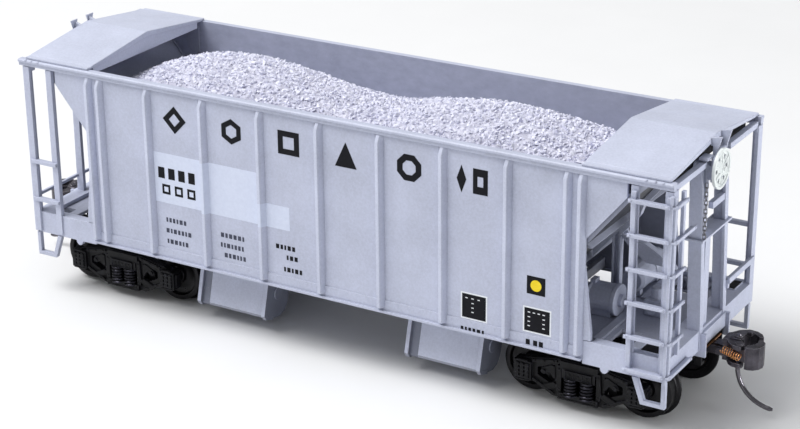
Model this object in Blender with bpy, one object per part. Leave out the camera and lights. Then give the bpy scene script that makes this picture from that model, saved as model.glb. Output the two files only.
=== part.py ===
"""HO-scale (1:87.1) two-bay open ballast hopper car, a model-railway part.

Ribbed sides, slope sheets, end frames with ladders, short end roofs, a gravel
load, outlet chutes, underframe, brake gear, two trucks with metal wheelsets and
two knuckle couplers.  Sizes are in millimetres; the finished meshes are in metres.

Frame: X runs along the car, with the brake-wheel end (B) at +X and the plain end
(A) at -X.  Y runs across; the near side is -Y and the far side +Y.  Z is up.
Heights in this file are above the top of the rail.  The finished car stands on
its wheel flanges, so the origin is LIFT below the rail, under the car's centre.
"""

import math
from collections import namedtuple

import bmesh
import bpy
from mathutils import Matrix, Vector

for old in list(bpy.data.objects):
    bpy.data.objects.remove(old, do_unlink=True)

# ---------------------------------------------------------- shared dimensions
MM = 0.001
SIDES = (-1, 1)
GAP = 0.05              # clearance left between two mating pieces

# Car sides, as distances from the centre line, and heights
SHEET_IN = 16.45
SHEET_OUT = 17.05
SHEET_X = 47.90         # end of the full-depth side sheet
CHORD_Z0, CHORD_Z1 = 42.00, 43.30

# Car ends
END_X = 62.20           # outer face of the corner posts
POST_IN_X = (55.30, 56.50)
POST_OUT_X = (60.85, END_X)
A_SHORTER = 0.70        # the plain end is this much shorter
POST_TOP = CHORD_Z0 - GAP
END_POST_Y = (4.55, 5.25)
FLOOR_Z = 13.85         # top of the end floors
SILL_TOP = 14.60

# Slope sheets: upper face from its top edge (x, z) inwards and down
SLOPE_TOP = (55.30, 40.40)
SLOPE_ANGLE = math.radians(50.6)
SLOPE_BOTTOM_Z = 14.20
SLOPE_T = 0.60
SLOPE_RUN = (SLOPE_TOP[1] - SLOPE_BOTTOM_Z) / math.tan(SLOPE_ANGLE)
SLOPE_LOW = (SLOPE_TOP[0] - SLOPE_RUN, SLOPE_BOTTOM_Z)
# Step through the sheet's thickness, outwards and down
SKIN_X = math.sin(SLOPE_ANGLE) * SLOPE_T
SKIN_Z = -math.cos(SLOPE_ANGLE) * SLOPE_T
STIFFENERS = (0.28, 0.62)   # fractions of the way up the slope

# Running gear
TRUCK_X = 45.50
TRUCK_PIVOT_Z = 8.60
AXLE_HALF = 9.90        # axle from the truck's centre
WHEEL_R = 4.80
FLANGE_R = 5.45
WHEEL_SIDES = 18        # a flat of the turned flange rests on the ground
LIFT = FLANGE_R * math.cos(math.pi / WHEEL_SIDES) - WHEEL_R

# Couplers
PIVOT_X = 54.50
COUPLER_Z = 9.95
KNUCKLE = (67.80, -2.00)
TRIP_PIN = (66.90, 0.15)

# Mesh clean-up
WELD = 0.0005
FLAT_ANGLE = 0.002
SHARP_ANGLE = math.radians(32)


# ---------------------------------------------------------------- mesh shapes
def mesh_from(verts, faces):
    mesh = bpy.data.meshes.new("m")
    mesh.from_pydata([tuple(v) for v in verts], [], faces)
    mesh.update()
    bm = bmesh.new()
    bm.from_mesh(mesh)
    bmesh.ops.recalc_face_normals(bm, faces=bm.faces)
    if bm.calc_volume(signed=True) < 0:
        bmesh.ops.reverse_faces(bm, faces=bm.faces)
    bm.to_mesh(mesh)
    bm.free()
    return mesh


def box(x0, x1, y0, y1, z0, z1):
    """Block between two limits on each axis, given in either order."""
    x0, x1 = min(x0, x1), max(x0, x1)
    y0, y1 = min(y0, y1), max(y0, y1)
    verts = [(x, y, z) for z in (z0, z1) for y in (y0, y1) for x in (x0, x1)]
    faces = [(0, 2, 3, 1), (4, 5, 7, 6), (0, 1, 5, 4), (2, 6, 7, 3), (0, 4, 6, 2), (1, 3, 7, 5)]
    return mesh_from(verts, faces)


def prism(axis, outline, start, end):
    """Extrude a polygon: (y, z) points along x, (x, z) along y, (x, y) along z."""
    place = {
        "x": lambda p, t: (t, p[0], p[1]),
        "y": lambda p, t: (p[0], t, p[1]),
        "z": lambda p, t: (p[0], p[1], t),
    }[axis]
    n = len(outline)
    verts = [place(p, t) for t in (start, end) for p in outline]
    faces = [tuple(range(n)), tuple(reversed(range(n, 2 * n)))]
    faces += [(i, i + n, (i + 1) % n + n, (i + 1) % n) for i in range(n)]
    return mesh_from(verts, faces)


def loft(rings):
    """Join equal-length rings of points with quads and cap both ends."""
    n = len(rings[0])
    verts = [p for ring in rings for p in ring]
    faces = [tuple(reversed(range(n))), tuple(range(len(verts) - n, len(verts)))]
    for k in range(len(rings) - 1):
        for i in range(n):
            j = (i + 1) % n
            faces.append((k * n + i, k * n + j, (k + 1) * n + j, (k + 1) * n + i))
    return mesh_from(verts, faces)


def rect(x0, x1, y0, y1, z):
    return [(x0, y0, z), (x1, y0, z), (x1, y1, z), (x0, y1, z)]


def lathe(axis, centre, profile, count=20):
    """Turn (radius, distance along axis) pairs; the first and last radius are 0."""
    centre = Vector(centre)
    first, second, along = {
        "x": (Vector((0, 1, 0)), Vector((0, 0, 1)), Vector((1, 0, 0))),
        "y": (Vector((0, 0, 1)), Vector((1, 0, 0)), Vector((0, 1, 0))),
        "z": (Vector((1, 0, 0)), Vector((0, 1, 0)), Vector((0, 0, 1))),
    }[axis]
    verts, rings = [], []
    for r, t in profile:
        if r == 0:
            rings.append([len(verts)])
            verts.append(centre + along * t)
            continue
        rings.append(list(range(len(verts), len(verts) + count)))
        for k in range(count):
            # half a step round, so that a flat faces the first direction
            a = 2 * math.pi * (k + 0.5) / count
            verts.append(
                centre + first * (r * math.cos(a)) + second * (r * math.sin(a)) + along * t
            )
    faces = []
    for low, high in zip(rings, rings[1:]):
        for k in range(count):
            m = (k + 1) % count
            if len(low) == 1:
                faces.append((low[0], high[m], high[k]))
            elif len(high) == 1:
                faces.append((low[k], low[m], high[0]))
            else:
                faces.append((low[k], low[m], high[m], high[k]))
    return mesh_from(verts, faces)


def rod(axis, centre, radius, start, end, count=12, chamfer=0.0):
    profile = [(0, start), (radius, start), (radius, end), (0, end)]
    if chamfer:
        face = radius - chamfer
        profile = [(0, start), (face, start), (radius, start + chamfer),
                   (radius, end - chamfer), (face, end), (0, end)]
    return lathe(axis, centre, profile, count)


def round_section(radius, count):
    angles = [2 * math.pi * k / count for k in range(count)]
    return [(radius * math.cos(a), radius * math.sin(a)) for a in angles]


def flat_section(half_width, half_height):
    corners = ((-1, -1), (1, -1), (1, 1), (-1, 1))
    return [(i * half_width, j * half_height) for i, j in corners]


def sweep(path, section):
    """Carry a section of (sideways, upwards) offsets along a path."""
    points = [Vector(p) for p in path]
    last = len(points) - 1
    tangents = [
        (points[min(i + 1, last)] - points[max(i - 1, 0)]).normalized() for i in range(last + 1)
    ]
    up = Vector((0, 0, 1)) if abs(tangents[0].z) < 0.9 else Vector((0, 1, 0))
    side = tangents[0].cross(up).normalized()
    rings = []
    for point, tangent in zip(points, tangents):
        side = (side - tangent * side.dot(tangent)).normalized()
        top = side.cross(tangent).normalized()
        rings.append([point + side * i + top * j for i, j in section])
    return loft(rings)


# ------------------------------------------------------- copying and booleans
def moved(mesh, matrix):
    mesh = mesh.copy()
    mesh.transform(matrix)
    if matrix.determinant() < 0:
        mesh.flip_normals()
    return mesh


def shifted(mesh, x):
    return moved(mesh, Matrix.Translation((x, 0, 0)))


def half_turn(mesh):
    return moved(mesh, Matrix.Rotation(math.pi, 4, "Z"))


def mirror_y(mesh):
    return moved(mesh, Matrix.Scale(-1, 4, (0, 1, 0)))


def boolean(mesh, others, operation):
    if not others:
        return mesh
    base = bpy.data.objects.new("base", mesh)
    bpy.context.scene.collection.objects.link(base)
    group = bpy.data.collections.new("group")
    bpy.context.scene.collection.children.link(group)
    tools = []
    for other in others:
        tool = bpy.data.objects.new("tool", other)
        group.objects.link(tool)
        tools.append(tool)
    modifier = base.modifiers.new("bool", "BOOLEAN")
    modifier.operation = operation
    modifier.solver = "EXACT"
    modifier.operand_type = "COLLECTION"
    modifier.collection = group
    bpy.context.view_layer.update()
    depsgraph = bpy.context.evaluated_depsgraph_get()
    result = bpy.data.meshes.new_from_object(base.evaluated_get(depsgraph))
    for ob in tools + [base]:
        bpy.data.objects.remove(ob, do_unlink=True)
    bpy.data.collections.remove(group)
    return result


def fuse(adds, cuts=()):
    """Union of the adds less the cuts, tidied and triangulated."""
    mesh = boolean(adds[0], list(adds[1:]), "UNION")
    mesh = boolean(mesh, list(cuts), "DIFFERENCE")
    bm = bmesh.new()
    bm.from_mesh(mesh)
    bmesh.ops.remove_doubles(bm, verts=bm.verts, dist=WELD)
    bmesh.ops.dissolve_degenerate(bm, edges=bm.edges, dist=WELD)
    bmesh.ops.dissolve_limit(bm, angle_limit=FLAT_ANGLE, verts=bm.verts, edges=bm.edges)
    bmesh.ops.triangulate(bm, faces=bm.faces)
    bm.to_mesh(mesh)
    bm.free()
    return mesh


# ------------------------------------------------------------------- materials
def material(name, rgb, rough, metal=0.0):
    mat = bpy.data.materials.new(name)
    mat.use_nodes = True
    shader = mat.node_tree.nodes["Principled BSDF"]
    shader.inputs["Base Color"].default_value = (*rgb, 1.0)
    shader.inputs["Roughness"].default_value = rough
    shader.inputs["Metallic"].default_value = metal
    return mat


PAINT = material("body_paint", rgb=(0.52, 0.53, 0.65), rough=0.45)
ROOF = material("roof_paint", rgb=(0.62, 0.64, 0.76), rough=0.45)
GRAVEL = material("gravel", rgb=(0.62, 0.60, 0.66), rough=0.9)
BLACK = material("truck_black", rgb=(0.012, 0.011, 0.013), rough=0.5)
WHEEL = material("blackened_wheel", rgb=(0.05, 0.048, 0.05), rough=0.4, metal=0.8)
DARK = material("coupler_metal", rgb=(0.09, 0.08, 0.10), rough=0.5, metal=0.7)
BRONZE = material("spring_bronze", rgb=(0.55, 0.28, 0.12), rough=0.35, metal=1.0)
STEEL = material("weight_steel", rgb=(0.35, 0.35, 0.37), rough=0.4, metal=1.0)
BRAKE = material("brake_wheel_plastic", rgb=(0.68, 0.72, 0.71), rough=0.4)

# --------------------------------------------------------------------- objects
Joint = namedtuple("Joint", "empty at")


def attach(ob, at, joint):
    """Link an object at a place in the car, under a joint if one is given."""
    bpy.context.scene.collection.objects.link(ob)
    if joint:
        ob.location = (Vector(at) - Vector(joint.at)) * MM
        ob.parent = joint.empty
    else:
        ob.location = Vector(at) * MM
        ob.location.z += LIFT * MM


def pivot(name, at, joint=None):
    """An empty on a joint's axis."""
    empty = bpy.data.objects.new(name, None)
    empty.empty_display_size = 0.003
    attach(empty, at, joint)
    return Joint(empty, at)


def piece(name, mesh, mat, joint=None):
    """A finished piece in metres, with its origin at its joint or the car's origin."""
    origin = joint.at if joint else (0, 0, 0)
    mesh = mesh.copy()
    mesh.transform(Matrix.Scale(MM, 4) @ Matrix.Translation(-Vector(origin)))
    mesh.name = name
    mesh.materials.clear()
    mesh.materials.append(mat)
    mesh.shade_smooth()
    mesh.set_sharp_from_angle(angle=SHARP_ANGLE)
    attach(bpy.data.objects.new(name, mesh), origin, joint)


def both_ends(name, mesh, mat):
    """A B-end piece and its half-turned copy at the A end."""
    piece(f"{name}_b", mesh, mat)
    piece(f"{name}_a", half_turn(mesh), mat)


# ----------------------------------------------------------------------- sides
RIB_X = [0.0] + [s * x for x in (11.54, 23.12, 34.60, 44.80, 47.20) for s in SIDES]
RIB_FACE_W = 0.66
RIB_ROOT_W = 1.44
RIB_OUT = 17.60         # outer face of the ribs
RIB_ROOT = 17.03        # where the flanks start, just inside the sheet's face
RIB_BACK = 16.90
RIB_Z = (12.20, 41.10, 42.22)   # foot, start of the head's chamfer, top
FLANGE_Z = 11.20        # lowest edge of the side

# (x, z) outline of the sheet, stepped up towards the ends
SHEET_OUTLINE = [
    (-SHEET_X, 11.30), (SHEET_X, 11.30), (SHEET_X, 31.40), (54.60, 39.55),
    (54.60, 42.40), (-54.60, 42.40), (-54.60, 39.55), (-SHEET_X, 31.40),
]
# (y, z) section of the top chord, with a projecting upper lip
CHORD_SECTION = [
    (-SHEET_IN, CHORD_Z0), (-SHEET_OUT, CHORD_Z0), (-17.50, CHORD_Z0 + 0.12), (-17.50, 42.70),
    (-17.75, 42.78), (-17.75, 43.12), (-17.55, CHORD_Z1), (-SHEET_IN, CHORD_Z1),
]
# (x, z) outline of the gusset beside the outermost rib
GUSSET = [(47.3, 27.0), (47.95, 27.0), (49.3, 16.0), (49.3, 14.72), (47.3, 14.72)]


def rib(x):
    """Side post with sloping flanks, a square foot and a chamfered head."""
    root, face = RIB_ROOT_W / 2, RIB_FACE_W / 2

    def level(z, depth):
        out = -RIB_ROOT - depth
        return [(x - root, -RIB_BACK, z), (x - root, -RIB_ROOT, z), (x - face, out, z),
                (x + face, out, z), (x + root, -RIB_ROOT, z), (x + root, -RIB_BACK, z)]

    depth = RIB_OUT - RIB_ROOT
    return loft([level(RIB_Z[0], depth), level(RIB_Z[1], depth), level(RIB_Z[2], 0.12)])


def side_panel():
    """Near side: sheet, ribs, top chord, bottom band and flange."""
    adds = [
        prism("y", SHEET_OUTLINE, -SHEET_OUT, -SHEET_IN),
        box(-SHEET_X, SHEET_X, -17.20, -16.50, 11.25, 13.40),
        box(-SHEET_X, SHEET_X, -17.62, -16.00, FLANGE_Z, 11.62),
        prism("x", CHORD_SECTION, -END_X, END_X),
    ]
    adds += [rib(x) for x in RIB_X]
    for s in SIDES:
        adds.append(prism("y", [(s * x, z) for x, z in GUSSET], -SHEET_OUT, -SHEET_IN))
    return fuse(adds)


near_side = side_panel()
piece("side_panel_near", near_side, PAINT)
piece("side_panel_far", half_turn(near_side), PAINT)


# ---------------------------------------------------------------- hopper floor
def slope_point(fraction):
    """(x, z) on the slope's upper face, a fraction of the way up."""
    return (SLOPE_LOW[0] + SLOPE_RUN * fraction,
            SLOPE_LOW[1] + (SLOPE_TOP[1] - SLOPE_BOTTOM_Z) * fraction)


def slope_sheet():
    """End floor of the hopper, with a hem along its top and stiffeners below."""
    half_width = SHEET_IN - GAP
    (top_x, top_z), (low_x, low_z) = SLOPE_TOP, SLOPE_LOW
    section = [SLOPE_LOW, SLOPE_TOP,
               (top_x + SKIN_X, top_z + SKIN_Z), (low_x + SKIN_X, low_z + SKIN_Z)]
    adds = [
        prism("y", section, -half_width, half_width),
        box(top_x - 0.4, top_x + 0.55, -half_width, half_width, top_z - 0.5, 41.6),
    ]
    width, drop_x, drop_z = 0.7, SKIN_X * 1.8, SKIN_Z * 1.8
    for fraction in STIFFENERS:
        x, z = slope_point(fraction)
        section = [(x, z), (x + width, z), (x + width + drop_x, z + drop_z),
                   (x + drop_x, z + drop_z)]
        adds.append(prism("y", section, -half_width + 0.3, half_width - 0.3))
    return fuse(adds)


both_ends("slope_sheet", slope_sheet(), PAINT)

# (x, z) sections: the folded sheet, its upright web and its cross tie
RIDGE_SECTIONS = [
    [(-13.2, 14.2), (-12.5, 14.2), (0, 24.4), (12.5, 14.2), (13.2, 14.2), (0, 25.2)],
    [(-0.4, 18.0), (0.4, 18.0), (0.4, 24.8), (-0.4, 24.8)],
    [(-8.4, 17.6), (8.4, 17.6), (7.2, 18.5), (-7.2, 18.5)],
]
RIDGE_HALF_W = 16.40
piece(
    "centre_ridge",
    fuse([prism("y", section, -RIDGE_HALF_W, RIDGE_HALF_W) for section in RIDGE_SECTIONS]),
    PAINT,
)

# ------------------------------------------------------------------ end frames
# (x, z) outlines
JACKING_LUG = [(50.9, 10.9), (51.1, 10.1), (51.5, 9.75), (51.9, 9.75), (52.3, 10.1), (52.5, 10.9)]
END_POST_B = [
    (60.25, 11.3), (62.45, 11.3), (62.45, 12.6), (61.62, 38.0),
    (61.35, 41.40), (61.35, 42.6), (60.2, 42.6), (59.45, 40.9),
]
END_POST_FLANGE_B = [(61.95, 12.0), (62.48, 11.6), (61.72, 36.4), (61.2, 36.4)]
END_POST_A = [(59.85, 11.3), (61.30, 11.3), (61.00, 38.0), (60.95, 42.6), (59.85, 42.6)]
END_POST_FLANGE_A = [(60.90, 12.0), (61.35, 11.6), (61.05, 41.4), (60.60, 41.4)]
POST_FOOT_Z = (10.90, 11.00)    # corner post, inner post
SIDE_SILL_Z = 10.60
GRAB_RUNGS_Z = (17.2, 24.4)
COUPLER_NOTCH = (60.0, 64.0, -4.45, 4.45, 8.0, 11.72)


def end_frame_side(s, shift, post, flange):
    """Posts and sill parts on the side s of the end."""
    outer0, outer1 = POST_OUT_X[0] + shift, POST_OUT_X[1] + shift
    inner0, inner1 = POST_IN_X
    sill_start = SHEET_X + GAP
    return [
        # corner post, an angle section open inwards
        box(outer0, outer1, s * 16.75, s * 17.40, POST_FOOT_Z[0], POST_TOP),
        box(outer1 - 0.65, outer1, s * 15.70, s * 16.90, POST_FOOT_Z[0], POST_TOP),
        # inner post, with its web outboard
        box(inner0, inner1, s * 16.75, s * 17.30, POST_FOOT_Z[1], POST_TOP),
        box(inner0, inner0 + 0.5, s * 16.46, s * 16.90, POST_FOOT_Z[1], POST_TOP),
        # side sill along the open end bay: web, upper and lower flanges
        box(sill_start, outer1 - 0.2, s * 16.35, s * 17.00, SIDE_SILL_Z, SILL_TOP),
        box(49.5, outer1 - 0.7, s * 15.2, s * 16.5, 13.95, SILL_TOP),
        box(sill_start, outer1 - 0.7, s * 15.6, s * 16.5, SIDE_SILL_Z, 11.15),
        prism("y", JACKING_LUG, s * 16.35, s * 17.0),
        # collision post and its face flange
        prism("y", post, s * END_POST_Y[0], s * END_POST_Y[1]),
        prism("y", flange, s * 4.0, s * END_POST_Y[1]),
    ]


def end_frame(brake_end):
    """Posts, sills, top beam and striker, drawn at the +X end."""
    shift = 0.0 if brake_end else -A_SHORTER
    if brake_end:
        post, flange = END_POST_B, END_POST_FLANGE_B
    else:
        post, flange = END_POST_A, END_POST_FLANGE_A
    adds = []
    for s in SIDES:
        adds += end_frame_side(s, shift, post, flange)
    # end sill and its inner flange
    adds.append(box(POST_OUT_X[0] + shift, 62.25 + shift, -16.9, 16.9, 11.15, SILL_TOP))
    adds.append(box(58.6, 61.2, -16.5, 16.5, 13.95, SILL_TOP))
    # top beam in two halves, with a block at each corner
    for s in SIDES:
        adds.append(box(60.95 + shift, 62.0 + shift, s * 15.6, s * 16.6, 40.95, POST_TOP))
        adds.append(box(60.95 + shift, 61.95 + shift, s * 4.6, s * 15.95, 41.7, 42.62))
    # striker and its cheeks
    adds.append(box(61.3, 62.75, -4.9, 4.9, 11.75, 14.15))
    for s in SIDES:
        adds.append(box(61.2, 63.35, s * 4.5, s * 4.95, 10.15, 14.15))
    if brake_end:
        # ledge from the middle to the far collision post
        adds.append(box(60.9, 61.7, -0.7, 4.7, 33.5, 34.6))
        # foot of the brake column
        adds.append(box(60.6, 61.8, -3.2, -1.3, 14.4, 29.58))
    # grab rungs on the side opposite the side ladder
    for z in GRAB_RUNGS_Z:
        adds.append(box(55.4, 61.9 + shift, 16.85, 17.75, z - 0.35, z + 0.30))
    if brake_end:
        # step plank with its lip and bracket, on the half opposite the end ladder
        adds.append(box(61.9, 62.90, 5.0, 15.4, 18.9, 19.4))
        adds.append(box(62.55, 62.90, 5.0, 15.4, 18.9, 19.9))
        adds.append(box(61.6, 62.6, 5.0, 5.7, 18.0, 19.2))
    else:
        # plain grab bar from the corner almost to the centre of the end
        adds.append(box(60.90, 61.40, 1.9, 16.9, 17.25, 17.75))
    return fuse(adds, [box(*COUPLER_NOTCH)])


piece("end_frame_b", end_frame(True), PAINT)
piece("end_frame_a", half_turn(end_frame(False)), PAINT)

# ----------------------------------------------------------------- underframe
FLOOR_BASE_Z = 13.30
BOLSTER_HALF_L = 2.2
# (y, z) section of a body bolster, deepest in the middle
BOLSTER_SECTION = [
    (-16.2, 12.9), (-16.2, FLOOR_Z), (16.2, FLOOR_Z), (16.2, 12.9), (6, 10.75), (-6, 10.75),
]
# side of the car, outer end of the floor, outer end of the draft gear pad
FLOOR_ENDS = ((-1, 59.7, 60.0), (1, 60.1, 60.7))


def underframe():
    """Centre sill, body bolsters with screw bosses, crossbearers and end floors."""
    adds = [
        box(-50.9, 50.9, -2.1, 2.1, 10.4, 13.6),
        box(-50.9, 50.9, -2.7, 2.7, 10.0, 10.6),
    ]
    for s, floor_end, pad_end in FLOOR_ENDS:
        x = s * TRUCK_X
        adds += [
            prism("x", BOLSTER_SECTION, x - BOLSTER_HALF_L, x + BOLSTER_HALF_L),
            rod("z", (x, 0, 0), 2.6, 8.65, 11.2, 16),
            # end floor, carried on the sill
            box(s * 43.0, s * floor_end, -15.0, 15.0, FLOOR_BASE_Z, FLOOR_Z),
            # draft gear pad over the coupler box
            box(s * 50.5, s * pad_end, -3.8, 3.8, 11.75, 13.5),
            # crossbearer
            box(s * 35.2, s * 36.0, -16.2, 16.2, 11.9, 13.6),
            # block along the sill's top
            box(s * 38.0, s * 44.5, -1.6, 1.6, FLOOR_BASE_Z, 15.6),
        ]
        # cross strap on the floor, in two halves
        for t in SIDES:
            adds.append(box(s * 48.55, s * 49.9, t * 3.0, t * 14.7, 13.6, 14.25))
    # middle of the sill: top pad, crossbearer and bottom pad
    adds.append(box(-12.6, 12.6, -2.0, 2.0, FLOOR_BASE_Z, 13.9))
    adds.append(box(-0.45, 0.45, -15.9, 15.9, 11.9, 13.5))
    adds.append(box(-9.0, 11.0, -2.2, 2.2, 9.7, 10.1))
    # screw holes, then openings in the end floors
    cuts = [rod("z", (s * TRUCK_X, 0, 0), 0.85, 8.0, 12.4, 12) for s in SIDES]
    for s in SIDES:
        for t in SIDES:
            cuts.append(box(s * 50.9, s * 54.6, t * 8.8, t * 14.3, 12.5, 14.5))
            cuts.append(box(s * 56.4, s * 59.6, t * 11.8, t * 14.3, 12.5, 14.5))
    return fuse(adds, cuts)


piece("underframe", underframe(), PAINT)

# --------------------------------------------------------------- outlet chutes
CHUTE_T = 0.55
# Inner and outer distance from the car's middle
CHUTE_X = (14.10, 28.20)
FUNNEL_TOP_X = (13.3, 33.5)
FUNNEL_MID_X = (13.9, 31.0)
# (y, z) outlines of the round-bottomed box: outside, inside, end rim and outer recess
BOWL = [
    (-11.75, 10.9), (-13.8, 3.05), (-13.3, 2.35), (-11.6, 1.70), (-9.3, 1.35),
    (-7.8, 1.80), (-6.8, 3.0), (-6.3, 4.8), (-6.3, 10.9),
]
WELL = [
    (-11.15, 11.2), (-13.1, 3.5), (-12.7, 2.95), (-11.4, 2.30), (-9.4, 1.95),
    (-8.2, 2.35), (-7.35, 3.35), (-6.9, 5.0), (-6.9, 11.2),
]
CHUTE_RIM = [
    (-12.05, 10.9), (-14.10, 3.0), (-13.5, 2.15), (-11.5, 1.50),
    (-11.3, 2.0), (-13.0, 2.6), (-13.4, 3.3), (-11.5, 10.9),
]
CHUTE_RECESS = [(-12.4, 11.0), (-14.6, 2.6), (-13.55, 2.6), (-11.45, 11.0)]


def chute(end):
    """Near-side outlet of one bay (end is +1 for B, -1 for A): funnel and leaning box."""
    t = CHUTE_T
    x0, x1 = sorted(end * x for x in CHUTE_X)
    top0, top1 = sorted(end * x for x in FUNNEL_TOP_X)
    mid0, mid1 = sorted(end * x for x in FUNNEL_MID_X)
    funnel = loft([
        rect(top0, top1, -16.35, -3.0, 14.15),
        rect(mid0, mid1, -15.2, -3.6, 11.4),
        rect(x0, x1, -12.3, -5.7, 10.4),
    ])
    funnel_hollow = loft([
        rect(top0 + t, top1 - t, -15.85, -3.5, 14.4),
        rect(mid0 + t, mid1 - t, -14.7, -4.1, 11.4),
        rect(x0 + t, x1 - t, -11.7, -6.3, 10.2),
    ])
    body = fuse(
        [
            funnel,
            prism("x", BOWL, x0, x1),
            # round boss on the +X face
            rod("x", (0, -9.6, 5.8), 1.15, x1 - 0.2, x1 + 0.18, 12),
        ],
        [
            funnel_hollow,
            prism("x", WELL, x0 + t, x1 - t),
            prism("x", CHUTE_RECESS, x0 + 0.6, x0 + 2.4),
        ],
    )
    return fuse([
        body,
        prism("x", CHUTE_RIM, x0 - 0.05, x0 + 0.68),
        prism("x", CHUTE_RIM, x1 - 0.60, x1 + 0.10),
    ])


for end, name, turned_name in ((1, "b_near", "a_far"), (-1, "a_near", "b_far")):
    outlet = chute(end)
    piece(f"outlet_chute_{name}", outlet, PAINT)
    piece(f"outlet_chute_{turned_name}", half_turn(outlet), PAINT)

# ------------------------------------------------------------------- roof ends
ROOF_X = (47.10, 61.45)
ROOF_Y = 16.00
ROOF_T = 0.62
EAVE_Z, RIDGE_Z = 43.55, 45.75
ROOF_BASE_Z = CHORD_Z1 + GAP
CARLINE_X = (52.0, 57.0)
CARLINE_T = 0.6
# (y, z) sections
ROOF_SHELL = [
    (-ROOF_Y, EAVE_Z), (-ROOF_Y + 0.12, EAVE_Z + 0.22), (0, RIDGE_Z),
    (ROOF_Y - 0.12, EAVE_Z + 0.22), (ROOF_Y, EAVE_Z), (ROOF_Y, ROOF_BASE_Z),
    (ROOF_Y - 0.5, ROOF_BASE_Z), (0, RIDGE_Z - ROOF_T - 0.25),
    (-ROOF_Y + 0.5, ROOF_BASE_Z), (-ROOF_Y, ROOF_BASE_Z),
]
ROOF_FASCIA = [
    (-15.7, 43.36), (0, 45.3), (15.7, 43.36), (15.3, 43.36),
    (15.3, 42.2), (-15.3, 42.2), (-15.3, 43.36),
]
CARLINE = [(-15.6, 43.36), (0, 45.2), (15.6, 43.36), (14.6, 43.36), (0, 44.2), (-14.6, 43.36)]
# Brake wheel brackets at B and the matching ears at A
BRACKET_Y = (1.75, 2.15)
EAR = [
    (59.90, 44.85), (59.90, 45.30), (60.75, 45.62), (62.45, 46.15),
    (61.80, 43.90), (61.30, 43.45), (60.80, 43.45), (60.80, 44.85),
]


def roof_end(outer_x):
    """Peaked roof with turned-down eaves, a web under its inner edge and carlines."""
    inner_x = ROOF_X[0]
    flange_top = CHORD_Z1 + 0.38
    adds = [
        prism("x", ROOF_SHELL, inner_x, outer_x),
        # bearing flanges on the chords
        box(inner_x, outer_x, -17.2, -15.6, ROOF_BASE_Z, flange_top),
        box(inner_x, outer_x, 15.6, 17.2, ROOF_BASE_Z, flange_top),
        prism("x", ROOF_FASCIA, inner_x + 0.25, inner_x + 0.85),
    ]
    adds += [prism("x", CARLINE, x, x + CARLINE_T) for x in CARLINE_X]
    return fuse(adds)


def roof_end_b():
    """Brake end's roof, its edge notched for the two wheel brackets."""
    notches = [box(61.24, 62.5, s * 1.69, s * 2.21, 42.9, 47.0) for s in SIDES]
    return fuse([roof_end(ROOF_X[1])], notches)


def roof_end_a():
    """Shorter roof with two ears standing on its own edge, drawn at the +X end."""
    ears = [prism("y", EAR, s * BRACKET_Y[0], s * BRACKET_Y[1]) for s in SIDES]
    return fuse([roof_end(ROOF_X[1] - A_SHORTER)] + ears)


piece("roof_end_b", roof_end_b(), ROOF)
piece("roof_end_a", half_turn(roof_end_a()), ROOF)

# ------------------------------------------------------------------ gravel load
LOAD_X = 50.9           # half length of the top's grid
LOAD_BASE_X = 48.6      # half length of the base
LOAD_Y = 16.30
LOAD_BASE_Z = 33.8
LOAD_CELLS_X, LOAD_CELLS_Y = 26, 8
# (x, z) along the middle of the load: a mound over each bay
LOAD_CREST = [
    (-50.9, 36.3), (-46, 39.1), (-41, 41.3), (-36, 42.85), (-31, 43.65), (-26, 43.85),
    (-21, 43.5), (-16, 42.65), (-11, 41.45), (-6, 40.35), (-1, 39.9), (4, 40.5),
    (9, 41.6), (14, 42.6), (19, 43.2), (24, 43.5), (29, 43.3), (34, 42.85),
    (39, 41.95), (44, 40.85), (50.9, 39.7),
]


def load_crest(x):
    for (x0, z0), (x1, z1) in zip(LOAD_CREST, LOAD_CREST[1:]):
        if x <= x1:
            t = max(0.0, (x - x0) / (x1 - x0))
            return z0 + (z1 - z0) * t
    return LOAD_CREST[-1][1]


def load_top(x, y):
    """Surface height, crowned from the side walls to the crest."""
    crest = load_crest(x)
    wall = max(34.6, crest - 8.5)
    return wall + (crest - wall) * (1 - (abs(y) / LOAD_Y) ** 1.9)


def gravel_load():
    """Crowned top over a flat base, its ends held clear of the slope sheets."""
    nx, ny = LOAD_CELLS_X, LOAD_CELLS_Y
    grid = [(i, j) for i in range(nx + 1) for j in range(ny + 1)]
    verts, top, base = [], {}, {}
    for i, j in grid:
        x = LOAD_X * (-1 + 2 * i / nx)
        y = -LOAD_Y + 2 * LOAD_Y * j / ny
        z = load_top(x, y)
        limit = SLOPE_TOP[0] - (SLOPE_TOP[1] - z) / math.tan(SLOPE_ANGLE) - 0.2
        top[i, j] = len(verts)
        verts.append((max(-limit, min(limit, x)), y, z))
    # the base is one polygon, so it needs points only round its edge
    for i, j in grid:
        if i in (0, nx) or j in (0, ny):
            y = -LOAD_Y + 2 * LOAD_Y * j / ny
            base[i, j] = len(verts)
            verts.append((LOAD_BASE_X * (-1 + 2 * i / nx), y, LOAD_BASE_Z))
    faces = [
        (top[i, j], top[i + 1, j], top[i + 1, j + 1], top[i, j + 1])
        for i in range(nx) for j in range(ny)
    ]
    rim = [(i, 0) for i in range(nx + 1)]
    rim += [(nx, j) for j in range(1, ny + 1)]
    rim += [(i, ny) for i in range(nx - 1, -1, -1)]
    rim += [(0, j) for j in range(ny - 1, 0, -1)]
    for a, b in zip(rim, rim[1:] + rim[:1]):
        faces.append((top[a], base[a], base[b], top[b]))
    faces.append(tuple(base[a] for a in rim))
    mesh = mesh_from(verts, faces)
    bm = bmesh.new()
    bm.from_mesh(mesh)
    bmesh.ops.triangulate(bm, faces=bm.faces)
    bm.to_mesh(mesh)
    bm.free()
    return mesh


piece("gravel_load", gravel_load(), GRAVEL)

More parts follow.
